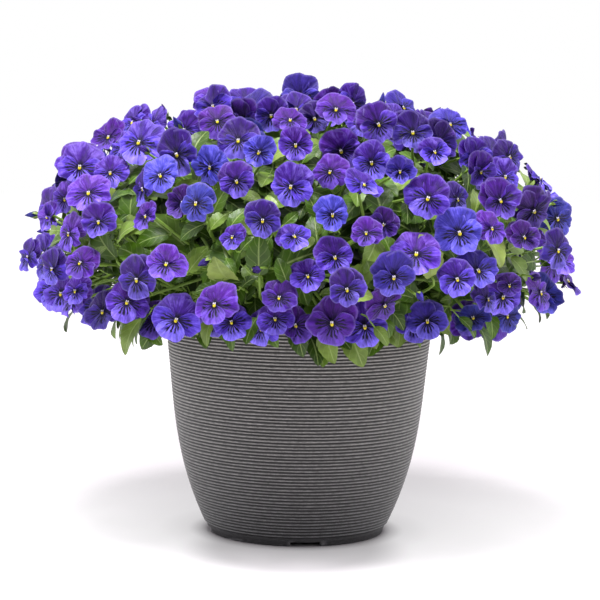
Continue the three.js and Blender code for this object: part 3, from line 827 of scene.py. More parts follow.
@dataclass
class SolidReader:
    """Finds the blooms and leaves in the CAD nodes, by the fans of triangles that make them."""

    # Each petal's aim in degrees, its reach, how far its two corners are off its aim, and its lift.
    petals: tuple[tuple[float, float, tuple[float, float], float], ...] = (
        (60, 1.0, (-19, 15), -3.0),
        (120, 1.0, (-15, 19), -3.0),
        (186, 0.97, (-14, 15), 0.4),
        (270, 1.0, (-21, 21), 2.2),
        (354, 0.97, (-15, 14), 0.4),
    )
    gaps: tuple[float, ...] = (0.86, 0.76, 0.68, 0.68, 0.76)  # reach of the corner after each petal
    lower: int = 3  # which petal gives the bloom's radius
    bloom_corners: int = 15
    crest: float = 1.2
    least_reach: float = 8.0
    top_corners: int = 11  # round the middle of a leaf's upper face
    bottom_corners: int = 12
    close: float = 0.05

    def outline(self, radius: float) -> Array:
        """The coarse outline that every bloom has, about its crest.

        Args:
            radius: The bloom's radius.

        Returns:
            Its corners.
        """
        points = []
        for i, (aim, reach, spread, lift) in enumerate(self.petals):
            after = self.petals[(i + 1) % len(self.petals)]
            middle = (after[0] + (360 if after[0] < aim else 0) + aim) / 2
            steps = [(aim + off, reach, lift) for off in spread]
            for angle, out, height in [*steps, (middle, self.gaps[i], (lift + after[3]) / 2)]:
                turn = math.radians(angle)
                far = out * radius
                points.append((far * math.cos(turn), far * math.sin(turn), height - self.crest))
        return np.array(points)

    def blooms(self, names: tuple[str, ...]) -> list[Bloom]:
        """Reads every bloom of the sprays.

        Args:
            names: The sprays' node names.

        Returns:
            The blooms.
        """
        found = []
        for branch, name in enumerate(names):
            solid = NodeSolid(name)
            for corner in solid.hubs(self.bloom_corners):
                fan = solid.fan(corner) - solid.points[corner]
                if len(fan) == self.bloom_corners and np.linalg.norm(fan, axis=1).min() > self.least_reach:
                    found.append(self.fitted(fan, solid.points[corner], branch))
        return [bloom for bloom in found if bloom]

    def fitted(self, fan: Array, crest: Array, branch: int) -> Bloom | None:
        """Turns the coarse outline until it meets a fan.

        Args:
            fan: The fan's outer corners, about its crest.
            crest: The crest's place.
            branch: The spray's number.

        Returns:
            The bloom, or None if no turn meets it.
        """
        first = 3 * self.lower
        half_angle = math.radians(self.petals[self.lower][2][1])
        for start in range(self.bloom_corners):
            run = np.roll(fan, -start, axis=0)
            radius = np.linalg.norm(run[first + 1] - run[first]) / (2 * math.sin(half_angle))
            mould = self.outline(radius)
            u, _, vt = np.linalg.svd(mould.T @ run)
            turn = vt.T @ np.diag([1, 1, np.sign(np.linalg.det(vt.T @ u.T))]) @ u.T
            if np.abs(mould @ turn.T - run).max() <= self.close:
                return Bloom(basis(*turn.T, crest - self.crest * turn[:, 2]), radius, branch)
        return None

    def blades(self, names: tuple[str, ...]) -> list[Blade]:
        """Reads every leaf of the leafy stems.

        Args:
            names: The stems' node names.

        Returns:
            The leaves.
        """
        found = []
        for branch, name in enumerate(names):
            solid = NodeSolid(name)
            unders = solid.points[solid.hubs(self.bottom_corners)]
            for corner in solid.hubs(self.top_corners):
                top = solid.points[corner]
                for bottom in unders:
                    if abs(np.linalg.norm(top - bottom) - LEAF_THICKNESS) < self.close:
                        found.append(self.blade(solid.fan(corner), top, bottom, branch))
        return found

    def blade(self, fan: Array, top: Array, bottom: Array, branch: int) -> Blade:
        """Works out a leaf's frame from the points of its outline.

        Args:
            fan: The outline.
            top: The middle of its upper face.
            bottom: The middle of its lower face.
            branch: The stem's number.

        Returns:
            The leaf.
        """
        facing = unit(top - bottom)
        apart = np.linalg.norm(fan - np.roll(fan, -1, axis=0), axis=1)
        i = int(apart.argmin())
        base = (fan[i] + fan[(i + 1) % len(fan)]) / 2
        tip = fan[np.linalg.norm(fan - base, axis=1).argmax()]
        along = tip - base
        along = along - along.dot(facing) * facing
        length = float(np.linalg.norm(along))
        along = along / length
        return Blade(leaf_frame(along, facing, (top + bottom) / 2 - along * length / 2), length, branch)


# Stems


@dataclass(frozen=True)
class Ring:
    """A ring of branches that leave the soil together and serve one band of the dome."""

    count: int
    arc: float
    turn: float


@dataclass
class Dome:
    """The dome that the middles of the blooms lie on: a squared-off ellipse over a short skirt."""

    radius: float = 252.0
    middle: float = 260.0
    rise: float = 147.0
    roundness: float = 0.91
    skirt_drop: float = 58.0
    skirt_roundness: float = 0.6
    skirt_end: int = 145
    profile: Array = field(init=False)

    def __post_init__(self) -> None:
        """Works out arc length, radius and height down the dome."""
        degrees = np.arange(self.skirt_end + 1)
        angle = np.radians(degrees)
        upper = degrees <= 90
        power = np.where(upper, self.roundness, self.skirt_roundness)
        radius = self.radius * np.abs(np.sin(angle)) ** power
        height = self.middle + np.where(upper, self.rise, -self.skirt_drop) * np.abs(np.cos(angle)) ** power
        steps = np.hypot(np.diff(radius), np.diff(height))
        self.profile = np.stack([np.concatenate([[0], np.cumsum(steps)]), radius, height])

    @property
    def arc(self) -> float:
        """Length from the crown to the skirt's edge."""
        return float(self.profile[0, -1])

    def at(self, arc: float, azimuth: float) -> Array:
        """A place on the dome.

        Args:
            arc: How far down from the crown.
            azimuth: Which way round, in radians.

        Returns:
            The place.
        """
        radius, height = (np.interp(arc, self.profile[0], row) for row in self.profile[1:])
        return np.array([radius * math.cos(azimuth), radius * math.sin(azimuth), height])


@dataclass
class Stems:
    """The branches that rise out of the soil, each ending in a knuckle."""

    dome: Dome
    bloom_rings: tuple[Ring, ...] = (Ring(1, 0, 0), Ring(5, 112, 0), Ring(8, 212, 12), Ring(14, 308, 0))
    leaf_rings: tuple[Ring, ...] = (
        Ring(2, 58, 36),
        Ring(5, 160, 36),
        Ring(7, 260, 4),
        Ring(14, 345, 180 / 14),
    )
    outer_arc: float = 345.0
    outer_soil_radius: float = 104.0
    upright: tuple[float, float] = (-12.0, 2.0)  # over the soil's top
    hub_depth: float = 0.6
    hub_over_rim: float = 18.0
    elbow_over_rim: float = 13.0
    elbow_out: float = 0.27
    elbow_up: float = 0.45
    steps: int = 22
    sides: int = 8
    radius: float = 2.9
    tip_radius: float = 2.1
    knot: float = 0.5
    knuckle: float = 0.9

    def paths(self, rings: tuple[Ring, ...]) -> list[Array]:
        """The line that each branch follows.

        Args:
            rings: The rings of branches.

        Returns:
            Points of each branch, from below the soil's top to its knuckle.
        """
        paths = []
        for ring in rings:
            for i in range(ring.count):
                azimuth = math.radians(ring.turn + 360 / ring.count * i - 90)
                hub = HEART + (self.dome.at(ring.arc, azimuth) - HEART) * self.hub_depth
                hub[2] = max(hub[2], POT_HEIGHT + self.hub_over_rim)
                soil = self.outer_soil_radius * ring.arc / self.outer_arc
                out = np.array([math.cos(azimuth), math.sin(azimuth), 0.0])
                reach = math.hypot(hub[0], hub[1])
                height = SOIL_TOP + (hub[2] - SOIL_TOP) * self.elbow_up
                height = max(height, POT_HEIGHT + self.elbow_over_rim)
                elbow = out * (soil + (reach - soil) * self.elbow_out) + UP * height
                foot = [out * soil + UP * (SOIL_TOP + rise) for rise in self.upright]
                paths.append(np.array([*foot, elbow, hub]))
        return paths

    def build(self, batch: Batch, path: Array, draws: Draws) -> None:
        """Adds one branch with its knuckle.

        Args:
            batch: The mesh that it joins.
            path: The branch's points.
            draws: Draws for its knots.
        """
        line = bend(list(path), self.steps)
        swell = np.linspace(self.radius, self.tip_radius, self.steps)
        swell[5:-2] += self.knot * (draws.random(self.steps - 7) ** 6)
        swell[-2:] += self.knuckle
        batch.add_stalk(line, swell, self.sides, (0, 0.7))


# Blooms


class PetalKind(Enum):
    """Where a petal stands in the bloom. Its value tells the finish which it is."""

    UPPER = 0.0
    SIDE = 1.0
    LOWER = 2.0


class EyePart(Enum):
    """The parts of a bloom's eye. Its value tells the finish which it is."""

    LIP = 0.0
    HAIRS = 1.0
    OPENING = 2.0


@dataclass(frozen=True)
class PetalForm:
    """One petal: the way it points, its reach, how wide it fans, and how far forward it stands."""

    kind: PetalKind
    aim: float
    reach: float
    half_angle: float
    fullness: float
    throat_lift: float
    edge_lift: float


@dataclass
class Blooms:
    """The violas: five ruffled petals, an eye, sepals and a spur on each."""

    throat: float = -0.12  # below the bloom's middle, as a share of its radius
    rows: int = 9
    cols: int = 19
    ruffle: float = 1.3
    roll: float = 1.5
    crease: float = 0.45
    swing: float = 11.0  # degrees by which a petal's aim may vary in all
    cup: float = 2.4  # how far the petals' edges may bend forward
    size: float = 0.945  # of its solid's, so that more leaves show between
    size_spread: float = 0.11
    tilt: float = 11.0  # degrees, as the roll and the nod
    roll_spread: float = 8.0
    nod: float = 32.0  # how far a bloom that looks away turns
    nod_share: float = 0.1
    stand: float = 3.5  # how far blooms stand in front of or behind their solids
    sepal_count: int = 5
    sepal_width: float = 1.9
    forms: tuple[PetalForm, ...] = (
        PetalForm(PetalKind.UPPER, 63, 1.2, 80, 2.6, -1.6, -3.6),
        PetalForm(PetalKind.UPPER, 117, 1.2, 80, 2.6, -1.1, -2.9),
        PetalForm(PetalKind.SIDE, -5, 1.06, 60, 2.4, 0.1, 0.3),
        PetalForm(PetalKind.SIDE, 185, 1.06, 60, 2.4, 0.1, 0.3),
        PetalForm(PetalKind.LOWER, 270, 0.98, 72, 3.4, 0.7, 1.9),
    )

    def varied(self, bloom: Bloom, draws: Draws) -> Bloom:
        """Gives a bloom its own size, stand and tilt, a little off its solid's.

        Args:
            bloom: The bloom as its solid has it.
            draws: Its draws.

        Returns:
            The varied bloom.
        """
        tilts = self.tilt * draws.standard_normal(2)
        if draws.random() < self.nod_share:
            tilts += self.nod * unit(draws.random(2) - 0.5)
        roll = self.roll_spread * draws.standard_normal()
        matrix = bloom.matrix.copy()
        matrix[:3, 3] += matrix[:3, 2] * self.stand * np.clip(draws.standard_normal(), -1.5, 2)
        for angle, axis in zip((*tilts, roll), "XYZ"):
            matrix[:3, :3] = matrix[:3, :3] @ np.array(Matrix.Rotation(math.radians(angle), 3, axis))
        size = self.size + self.size_spread * np.clip(draws.standard_normal(), -1.8, 1.7)
        return Bloom(matrix, bloom.radius * size, bloom.branch)

    def petal(self, form: PetalForm, radius: float, cup: float, draws: Draws) -> tuple[Array, Array, Array]:
        """One petal in the bloom's own frame.

        Args:
            form: Which petal.
            radius: The bloom's radius.
            cup: How far the petal's edge bends forward.
            draws: Draws for its ruffles.

        Returns:
            Its points, and how far across and along the petal each lies.
        """
        steps = np.linspace(0.07, 1, self.rows) ** 0.85
        across, along = np.meshgrid(np.linspace(-0.97, 0.97, self.cols), steps)
        phase = draws.random(7) * 2 * math.pi
        size = 1 + 0.12 * (draws.random() - 0.5)
        edge = form.reach * radius * size * (1 - np.abs(across) ** form.fullness) ** 0.55
        edge *= 1 + 0.03 * np.sin(5 * across + phase[0]) + 0.025 * np.sin(13 * across + phase[1])
        if form.kind is PetalKind.LOWER:
            edge *= 1 - 0.07 * np.exp(-((across / 0.16) ** 2))
        turn = np.radians(form.aim + self.swing * (draws.random() - 0.5) - across * form.half_angle)
        far = along * edge
        x = far * np.cos(turn)
        y = self.throat * radius + far * np.sin(turn)
        lean = 1.5 * draws.standard_normal()
        fold = 1.3 * draws.standard_normal()
        lift = form.throat_lift + (form.edge_lift + lean - form.throat_lift) * along**1.4
        waves = np.sin(6 * across + phase[2]) + 0.7 * np.sin(11 * across + phase[3])
        creases = (np.sin(9 * across + phase[4]) + 0.7 * np.sin(15 * across + phase[5])) * along
        relief = self.ruffle * along**2.5 * waves - self.roll * along**5 + self.crease * creases
        lift = lift + radius / BLOOM_RADIUS * relief
        lift = lift + fold * along * across**2 + cup * along**2
        return columns(x, y, lift), across, along

    def build(self, bloom: Bloom, hub: Array, meshes: Meshes, draws: Draws) -> None:
        """Adds one bloom.

        Args:
            bloom: Where it is.
            hub: The knuckle that its stalk leaves.
            meshes: The meshes that its parts join.
            draws: Its draws.
        """
        petals = meshes[f"viola_petals_{bloom.branch % PETAL_MESHES + 1}"]
        tone = draws.random() ** 1.15
        cup = max(0.0, self.cup * draws.standard_normal())
        quads = grid_quads(self.rows, self.cols)
        for form in self.forms:
            points, across, along = self.petal(form, bloom.radius, cup, draws)
            petals.add(moved(points, bloom.matrix), quads, across, along, form.kind.value, tone)
        self.eye(bloom, meshes["viola_throats"])
        self.spur(bloom, petals, tone)
        self.sepals(bloom, meshes["sepals"], draws)
        self.stalk(bloom, hub, meshes["flower_stalks"])

    def eye(self, bloom: Bloom, throats: Batch) -> None:
        """Adds the yellow lip, the two white tufts over it and a near-black lobe of painted shade in the
        throat.

        Args:
            bloom: Where the bloom is.
            throats: The mesh that they join.
        """
        y = self.throat * bloom.radius
        points, quads = shell(0.02, 0.5, 4, 8)
        for part, centre, size in (
            (EyePart.LIP, (0.0, y - 0.75, 1.1), (1.35, 1.55, 0.8)),
            (EyePart.HAIRS, (-0.72, y + 0.8, 1.1), (0.6, 1.05, 0.8)),
            (EyePart.HAIRS, (0.72, y + 0.8, 1.1), (0.6, 1.05, 0.8)),
            # The near-black lobe paints the shade in the throat.
            (EyePart.OPENING, (0.0, y - 0.1, 1.3), (0.4, 0.75, 0.85)),
        ):
            lobe = points * np.array(size) * (bloom.radius / BLOOM_RADIUS) + np.array(centre)
            throats.add(moved(lobe, bloom.matrix), quads, kind=part.value)

    def spur(self, bloom: Bloom, petals: Batch, tone: float) -> None:
        """Adds the short spur behind the lower petal.

        Args:
            bloom: Where the bloom is.
            petals: The mesh that it joins.
            tone: The bloom's hue.
        """
        y = self.throat * bloom.radius
        path = np.array([[0, y, 0], [0, y - 0.5, -3], [0, y - 1.5, -5.5], [0, y - 2.2, -8]])
        points, quads = tube(path, np.array([1.6, 1.7, 1.4, 0.9]), 6)
        petals.add(moved(points, bloom.matrix), quads, along=0.6, tone=tone)

    def sepals(self, bloom: Bloom, greens: Batch, draws: Draws) -> None:
        """Adds the pointed sepals behind the petals.

        Args:
            bloom: Where the bloom is.
            greens: The mesh that they join.
            draws: Draws for their tilt.
        """
        across, along = np.meshgrid(np.linspace(-1, 1, 3), np.linspace(0, 1, 5))
        wide = self.sepal_width * np.sin(math.pi * (0.12 + 0.86 * along)) * across
        z = -NECK_DEPTH - 1.2 - 3.0 * along + 2.4 * along**2 + 0.5 * np.abs(across)
        for i in range(self.sepal_count):
            turn = math.radians(90 + 360 / self.sepal_count * i + 14 * (draws.random() - 0.5))
            length = bloom.radius * (0.46 + 0.1 * draws.random())
            x, y = turned(0.8 + length * along, wide, turn)
            greens.add(moved(columns(x, y, z), bloom.matrix), grid_quads(5, 3), across, along, tone=0.8)

    def stalk(self, bloom: Bloom, hub: Array, stalks: Batch) -> None:
        """Adds the thin stalk from a knuckle, which hooks over behind the bloom.

        Args:
            bloom: Where the bloom is.
            hub: The middle of its knuckle.
            stalks: The mesh that it joins.
        """
        neck = moved([0, 0, -NECK_DEPTH], bloom.matrix)
        behind = moved([0, 1.5, -NECK_DEPTH - 5], bloom.matrix)
        line = bend([hub, hub + (behind - hub) * 0.55, behind, neck], 10)
        stalks.add_stalk(line, np.linspace(1.5, 1.0, 10), 6, (0.5, 1))


# Leaves


@dataclass
class Leaves:
    """The leaves: folded along the rib, drooping, with a scalloped edge."""

    teeth: int = 6
    tooth_depth: float = 0.09
    wave: float = 0.5

    def surface(self, length: float, rows: int, cols: int, phase: float) -> tuple[Array, Array, Array]:
        """One blade in its own frame.

        Args:
            length: Its length.
            rows: Points along it.
            cols: Points across it.
            phase: Where the wave of its edge starts.

        Returns:
            Its points, and how far across and along the blade each lies.
        """
        across, along = np.meshgrid(np.linspace(-1, 1, cols), np.linspace(0, 1, rows))
        envelope = np.sin(math.pi * np.clip(0.02 + 0.975 * along, 0, 1) ** 0.8) ** 0.62
        scallop = 1 - self.tooth_depth * (1 - np.abs(np.sin(math.pi * self.teeth * along)))
        x = length * LEAF_WIDTH / 2 * np.maximum(envelope * scallop, 0.03) * across
        droop = LEAF_DROOP * (length / LEAF_LENGTH) * (2 * along - 1) ** 2
        z = LEAF_FOLD * (np.sqrt(x**2 + 0.6) - 0.77) - droop
        z = z + self.wave * np.sin(9 * along + phase + 1.5 * across) * across**2
        return columns(x, length * along, z), across, along

    def add(self, batch: Batch, matrix: Array, length: float, shape: tuple[int, int], tone: float) -> None:
        """Adds one blade.

        Args:
            batch: The mesh that it joins.
            matrix: The blade's frame.
            length: Its length.
            shape: Points along and across it.
            tone: How light its green is, from 0 to 1.
        """
        points, across, along = self.surface(length, *shape, phase=tone * 40)
        batch.add(moved(points, matrix), grid_quads(*shape), across, along, tone=tone)

    def petiole(
        self, batch: Batch, matrix: Array, root: Array, droop: float, radius: float, sides: int = 4
    ) -> None:
        """Adds the stalk from a stem to a blade's base.

        Args:
            batch: The mesh that it joins.
            matrix: The blade's frame.
            root: Where it leaves the stem.
            droop: How far the blade's base hangs below its frame.
            radius: The stalk's radius.
            sides: Corners round it.
        """
        base = moved([0, 0, -droop], matrix)
        before = moved([0, -0.12 * np.linalg.norm(base - root), -droop - 1], matrix)
        steps = 4 if sides < 5 else 7
        line = bend([root, (root + before) / 2 + UP * -1.5, before, base], steps)
        batch.add_stalk(line, np.linspace(radius * 1.2, radius * 0.8, steps), sides, (0.8, 0.8), tone=0.7)


@dataclass
class Undergrowth:
    """Small leaves that fill the bush between and behind the blooms."""

    dome: Dome
    leaves: Leaves
    count: int = 1560
    shape: tuple[int, int] = (13, 5)
    shortest: float = 15.0
    longest: float = 34.0
    deep_share: float = 0.27
    deep_length: float = 43.0
    level: float = 240.0  # leaves below it face straight outward
    sag_below: float = 225.0
    hides_from: float = -7.0  # in front of a bloom
    hides_to: float = 60.0
    seed: int = 21

    def clear(self, place: Array, half: float, faces: tuple[Array, Array, Array]) -> bool:
        """Tests that a leaf hides no bloom's face and stands outside the pot.

        Args:
            place: The leaf's middle.
            half: Half its length.
            faces: The blooms' middles, facings and radii.

        Returns:
            True if it may grow there.
        """
        if place[2] < POT_HEIGHT + half * 0.7 and math.hypot(*place[:2]) < RIM_RADIUS + half * 0.8:
            return False
        origins, facings, radii = faces
        away = place - origins
        depth = np.einsum("ij,ij->i", away, facings)
        aside = np.linalg.norm(away - depth[:, None] * facings, axis=1)
        hides = (depth > self.hides_from) & (depth < self.hides_to) & (aside < radii + half * 0.55)
        return not hides.any()

    def build(self, blooms: list[Bloom], anchors: Array, meshes: Meshes) -> None:
        """Chooses the leaves' places and adds them.

        Args:
            blooms: The blooms, which they leave clear.
            anchors: Points on stems that they may grow from.
            meshes: The meshes that they join, the blades in turn.
        """
        draws = np.random.default_rng(self.seed)
        frames = np.array([bloom.matrix for bloom in blooms])
        faces = (frames[:, :3, 3], frames[:, :3, 2], np.array([bloom.radius for bloom in blooms]))
        placed = 0
        while placed < self.count:
            length = self.shortest + (self.longest - self.shortest) * draws.random()
            arc = self.dome.arc * draws.random()
            outer = self.dome.at(arc, 2 * math.pi * draws.random())
            if draws.random() * self.dome.radius > math.hypot(*outer[:2]):
                continue
            deep = draws.random() < self.deep_share
            depth = 0.45 + 0.4 * draws.random() if deep else 0.62 + 0.35 * draws.random() ** 0.6
            length = self.deep_length if deep else length
            place = HEART + (outer - HEART) * depth
            if not self.clear(place, length / 2, faces):
                continue
            outward = unit(np.array([outer[0], outer[1], max(outer[2] - self.level, 0.0) * 1.4]))
            facing = unit(outward + np.array([0, -0.25, 0.35]) + 0.9 * (draws.random(3) - 0.5))
            root = anchors[np.linalg.norm(anchors - place + outward * 14, axis=1).argmin()]
            sag = -0.5 if outer[2] < self.sag_below else 0.1
            along = unit(place - root) + 0.8 * (draws.random(3) - 0.5) + UP * sag
            along = unit(along - along.dot(facing) * facing)
            matrix = leaf_frame(along, facing, place - along * length / 2)
            # Leaves deeper in the bush are given a darker green, partly as painted shade.
            tone = 0.1 + 0.75 * draws.random() * (depth - 0.3) / 0.68
            self.leaves.add(meshes[f"small_leaves_{placed % 2 + 1}"], matrix, length, self.shape, tone)
            droop = LEAF_DROOP * length / LEAF_LENGTH
            self.leaves.petiole(meshes["small_leaf_stalks"], matrix, root, droop, 0.7)
            placed += 1


@dataclass
class Fringe:
    """Leaves that hang over the rim and below the skirt of blooms, all the way round."""

    leaves: Leaves
    count: int = 116
    shape: tuple[int, int] = (17, 7)
    shortest: float = 22.0
    longest: float = 42.0
    nearest: float = 9.0  # from the rim
    farthest: float = 96.0
    root_inside: float = 14.0
    root_over: float = 15.0
    seed: int = 17

    def build(self, meshes: Meshes) -> None:
        """Adds the leaves and their stalks.

        Args:
            meshes: The meshes that they join.
        """
        draws = np.random.default_rng(self.seed)
        for i in range(self.count):
            azimuth = 2 * math.pi * (i + 5 * draws.random()) / self.count
            out = np.array([math.cos(azimuth), math.sin(azimuth), 0.0])
            beside = np.array([-out[1], out[0], 0.0])
            off = self.nearest + (self.farthest - self.nearest) * draws.random() ** 2.2
            length = self.shortest + (self.longest - self.shortest) * draws.random()
            length *= 1 - 0.25 * off / self.farthest
            base = out * (RIM_RADIUS + off) + UP * (POT_HEIGHT - 5 + 18 * draws.random() - 0.02 * off)
            sweep = 1.7 * (draws.random() - 0.5)
            along = out * (0.2 + 0.4 * draws.random()) + beside * sweep
            along = unit(along - UP * (0.45 + 0.6 * draws.random()))
            facing = out + UP * (0.15 + 0.7 * draws.random()) + beside * 1.2 * (draws.random() - 0.5)
            facing = unit(facing - facing.dot(along) * along)
            matrix = leaf_frame(along, facing, base)
            tone = 0.12 + 0.62 * draws.random()
            self.leaves.add(meshes["small_leaves_1"], matrix, length, self.shape, tone)
            root = out * (RIM_RADIUS - self.root_inside) + beside * 12 * (draws.random() - 0.5)
            root = root + UP * (POT_HEIGHT + self.root_over)
            droop = LEAF_DROOP * length / LEAF_LENGTH
            self.leaves.petiole(meshes["small_leaf_stalks"], matrix, root, droop, 0.8)


@dataclass
class Buds:
    """Furled buds on hooked stalks, in the gaps at the edge of the dome."""

    dome: Dome
    count: int = 44
    tries: int = 30
    length: float = 15.0
    rows: int = 9
    cols: int = 12
    sepal_count: int = 5
    sepal_width: float = 1.5
    level: float = 250.0  # buds below it lean alike
    seed: int = 5

    def build(self, blooms: list[Bloom], hubs: Array, meshes: Meshes) -> None:
        """Adds the buds.

        Args:
            blooms: The blooms, which they keep clear of.
            hubs: The knuckles that they may grow from.
            meshes: The meshes that their parts join.
        """
        draws = np.random.default_rng(self.seed)
        taken = np.array([bloom.matrix[:3, 3] for bloom in blooms])
        for _ in range(self.count):
            most = 0.0
            for _ in range(self.tries):
                arc = self.dome.arc * (0.08 + 0.9 * draws.random())
                choice = self.dome.at(arc, 2 * math.pi * draws.random())
                room = np.linalg.norm(taken - choice, axis=1).min()
                if room > most:
                    most, place = room, choice
            taken = np.vstack([taken, place])
            out = unit(np.array([place[0], place[1], max(place[2] - self.level, 0) * 1.4 + 25]))
            along = unit(out + 0.9 * (draws.random(3) - 0.5) + UP * -0.15)
            side = unit(np.cross(along, UP))
            matrix = basis(side, along, np.cross(side, along), place - along * 6)
            self.furled(matrix, meshes["viola_buds"], meshes["sepals"], draws)
            hub = hubs[np.linalg.norm(hubs - place, axis=1).argmin()]
            rise = hub + (place - out * 10 - hub) * 0.7 + UP * 3
            line = bend([hub, rise, place - out * 9 + UP * 2, matrix[:3, 3]], 10)
            meshes["flower_stalks"].add_stalk(line, np.linspace(1.3, 0.9, 10), 6, (0.5, 1))

    def furled(self, matrix: Array, petals: Batch, greens: Batch, draws: Draws) -> None:
        """Adds one bud.

        Args:
            matrix: Its frame, which it grows along Y in.
            petals: The mesh that its petals join.
            greens: The mesh that its sepals join.
            draws: Its draws.
        """
        length = self.length * (0.7 + 0.5 * draws.random())
        along, turn = np.meshgrid(np.linspace(0, 1, self.rows), circle(self.cols), indexing="ij")
        wide = 2.9 * np.sin(math.pi * (0.1 + 0.86 * along) ** 0.8) * (1 + 0.16 * np.sin(3 * turn + 5 * along))
        points = columns(wide * np.cos(turn), length * along, wide * np.sin(turn))
        quads = grid_quads(self.rows, self.cols, wrap=True)[:, ::-1]
        tone = 0.6 + 0.4 * draws.random()
        petals.add(moved(points, matrix), quads, np.sin(turn), 0.3 + 0.5 * along, tone=tone)
        across, reach = np.meshgrid(np.linspace(-1, 1, 3), np.linspace(0, 1, 5))
        wide = self.sepal_width * np.sin(math.pi * (0.15 + 0.83 * reach)) * across
        out = 1.0 + 2.6 * np.sin(math.pi * 0.5 * np.clip(reach * 1.3, 0, 1))
        for angle in circle(self.sepal_count):
            x, z = turned(out, wide, angle)
            points = columns(x, length * 0.55 * reach - 0.5, z)
            greens.add(moved(points, matrix), grid_quads(5, 3), across, reach, tone=0.75)


# Pot and soil


@dataclass
class RibbedPot:
    """The moulded pot: fine ribs over a plain band, a rolled rim, and a notched foot."""

    belly: float = 11.0
    belly_skew: float = 0.7
    belly_sharpness: float = 1.4
    wall: float = 3.5
    floor_hole: float = 30.0  # the middle of the floor is left out, as the soil covers it
    floor_underside: float = 4.5
    floor_top: float = 8.0
    foot_ring: float = 9.0
    base_band: float = 8.2
    rim_band: float = 11.0
    ribs: int = 63
    rib_depth: float = 0.95
    rings_per_rib: int = 5
    columns: int = 120
    notches: int = 4
    notch_width: float = 28.0
    notch_height: float = 3.8
    notch_turn: float = 6.5

    def radius(self, height: Array) -> Array:
        """The wall's outer radius.

        Args:
            height: Heights over the floor.

        Returns:
            The radius at each.
        """
        rise = height / POT_HEIGHT
        belly = self.belly * np.abs(np.sin(math.pi * rise**self.belly_skew)) ** self.belly_sharpness
        return FOOT_RADIUS + (RIM_RADIUS - FOOT_RADIUS) * rise + belly

    def profile(self) -> Array:
        """The wall's section, from the middle of the underside, up the outside and down the inside.

        Returns:
            A row of radii, one of heights, and one of how near to a crest each point is.
        """
        inside = FOOT_RADIUS - self.foot_ring
        rows = [(self.floor_hole, self.floor_underside, 0), (inside, self.floor_underside, 0)]
        rows += [(inside, 0, 0), (inside + 0.5, 0, 0), (FOOT_RADIUS - 0.6, 0, 0)]
        rows += [(FOOT_RADIUS, 0.6, 0.35), (FOOT_RADIUS + 0.4, 3.9, 0.3)]
        plain = np.linspace(4.2, self.base_band - 0.6, 4)
        rows += [(r, h, 0.3) for r, h in zip(self.radius(plain) - 1.2, plain)]
        top = POT_HEIGHT - self.rim_band
        phase = np.arange(self.ribs * self.rings_per_rib + 1) / self.rings_per_rib
        swell = 0.5 - 0.5 * np.cos(2 * math.pi * phase)
        heights = self.base_band + phase * ((top - self.base_band) / self.ribs)
        radii = self.radius(heights) - self.rib_depth * (1 - swell**0.8)
        rows += list(zip(radii, heights, swell**1.8))
        rim = RIM_RADIUS
        rows += [(rim - 0.6, top + 1.2, 0.5), (rim, top + 2.4, 0.6), (rim, POT_HEIGHT - 2, 0.6)]
        rows += [(rim - 0.6, POT_HEIGHT - 0.6, 0.8), (rim - 2, POT_HEIGHT, 0.8)]
        rows += [(rim - self.wall, POT_HEIGHT - 0.3, 0.5)]
        lining = np.linspace(POT_HEIGHT - 3, self.floor_top, 8)
        rows += [(r, h, 0) for r, h in zip(self.radius(lining) - self.wall, lining)]
        rows += [(self.floor_hole, self.floor_top, 0)]
        return np.array(rows).T

    def build(self, material: Material) -> None:
        """Makes the pot.

        Args:
            material: Its finish.
        """
        half = math.degrees(self.notch_width / 2 / FOOT_RADIUS)
        middles = self.notch_turn - 90 + 360 / self.notches * np.arange(self.notches)
        edges = [mid + side * (half + slip) for mid in middles for side in (-1, 1) for slip in (0, 0.15)]
        turns = np.concatenate([np.linspace(0, 360, self.columns, endpoint=False), edges])
        turns = np.unique(np.round(turns % 360, 4))
        off = np.abs((turns[None, :] - middles[:, None] + 180) % 360 - 180).min(axis=0)
        cut = off <= half + 0.01
        radius, height, crest = (np.repeat(row[:, None], len(turns), axis=1) for row in self.profile())
        angle = np.radians(turns)[None, :]
        height = np.where(cut & (height < self.notch_height) & (radius > 60), self.notch_height, height)
        # The corners of the notches are rubbed pale.
        corner = (off > half - 0.5) & (off < half + 2.2)
        crest = np.where(corner & (height < 5) & (radius > 80), 1.0, crest)
        # The ribs run a little unevenly round the wall.
        rib = np.floor(np.arange(len(height))[:, None] / self.rings_per_rib)
        ribbed = (height > self.base_band + 1) & (height < POT_HEIGHT - self.rim_band - 1) & (crest > 0)
        sway = 0.16 * np.sin(3 * angle + 1.7 * rib) + 0.1 * np.sin(8 * angle + 2.9 * rib)
        height = height + np.where(ribbed & (radius > FOOT_RADIUS), sway, 0)
        points = columns(radius * np.cos(angle), radius * np.sin(angle), height)
        batch = Batch()
        batch.add(points, grid_quads(*radius.shape, wrap=True), along=height / POT_HEIGHT, kind=crest)
        batch.piece("ribbed_pot", material, "pot_plastic", ("pot",))


@dataclass
class SoilCrumbs:
    """Loose bark crumbs that lie on the soil."""

    count: int = 420
    reach: float = 116.0
    seed: int = 3

    def build(self, material: Material) -> None:
        """Makes the crumbs, and dresses the soil's own solid.

        Args:
            material: The soil's finish.
        """
        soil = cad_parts["soil"]
        soil.data.materials.clear()
        soil.data.materials.append(material)
        draws = np.random.default_rng(self.seed)
        batch = Batch()
        ball, quads = shell(0.04, 0.96, 5, 6)
        for _ in range(self.count):
            far = self.reach * math.sqrt(draws.random())
            azimuth = 2 * math.pi * draws.random()
            size = (1.2 + 2.8 * draws.random() ** 2) * (0.6 + 0.8 * draws.random(3))
            lumps = ball * size * (0.8 + 0.4 * draws.random((len(ball), 1)))
            centre = np.array([far * math.cos(azimuth), far * math.sin(azimuth), SOIL_TOP + 0.3])
            batch.add(lumps + centre, quads)
        batch.piece("soil_crumbs", material, "potting_soil")


# The picture


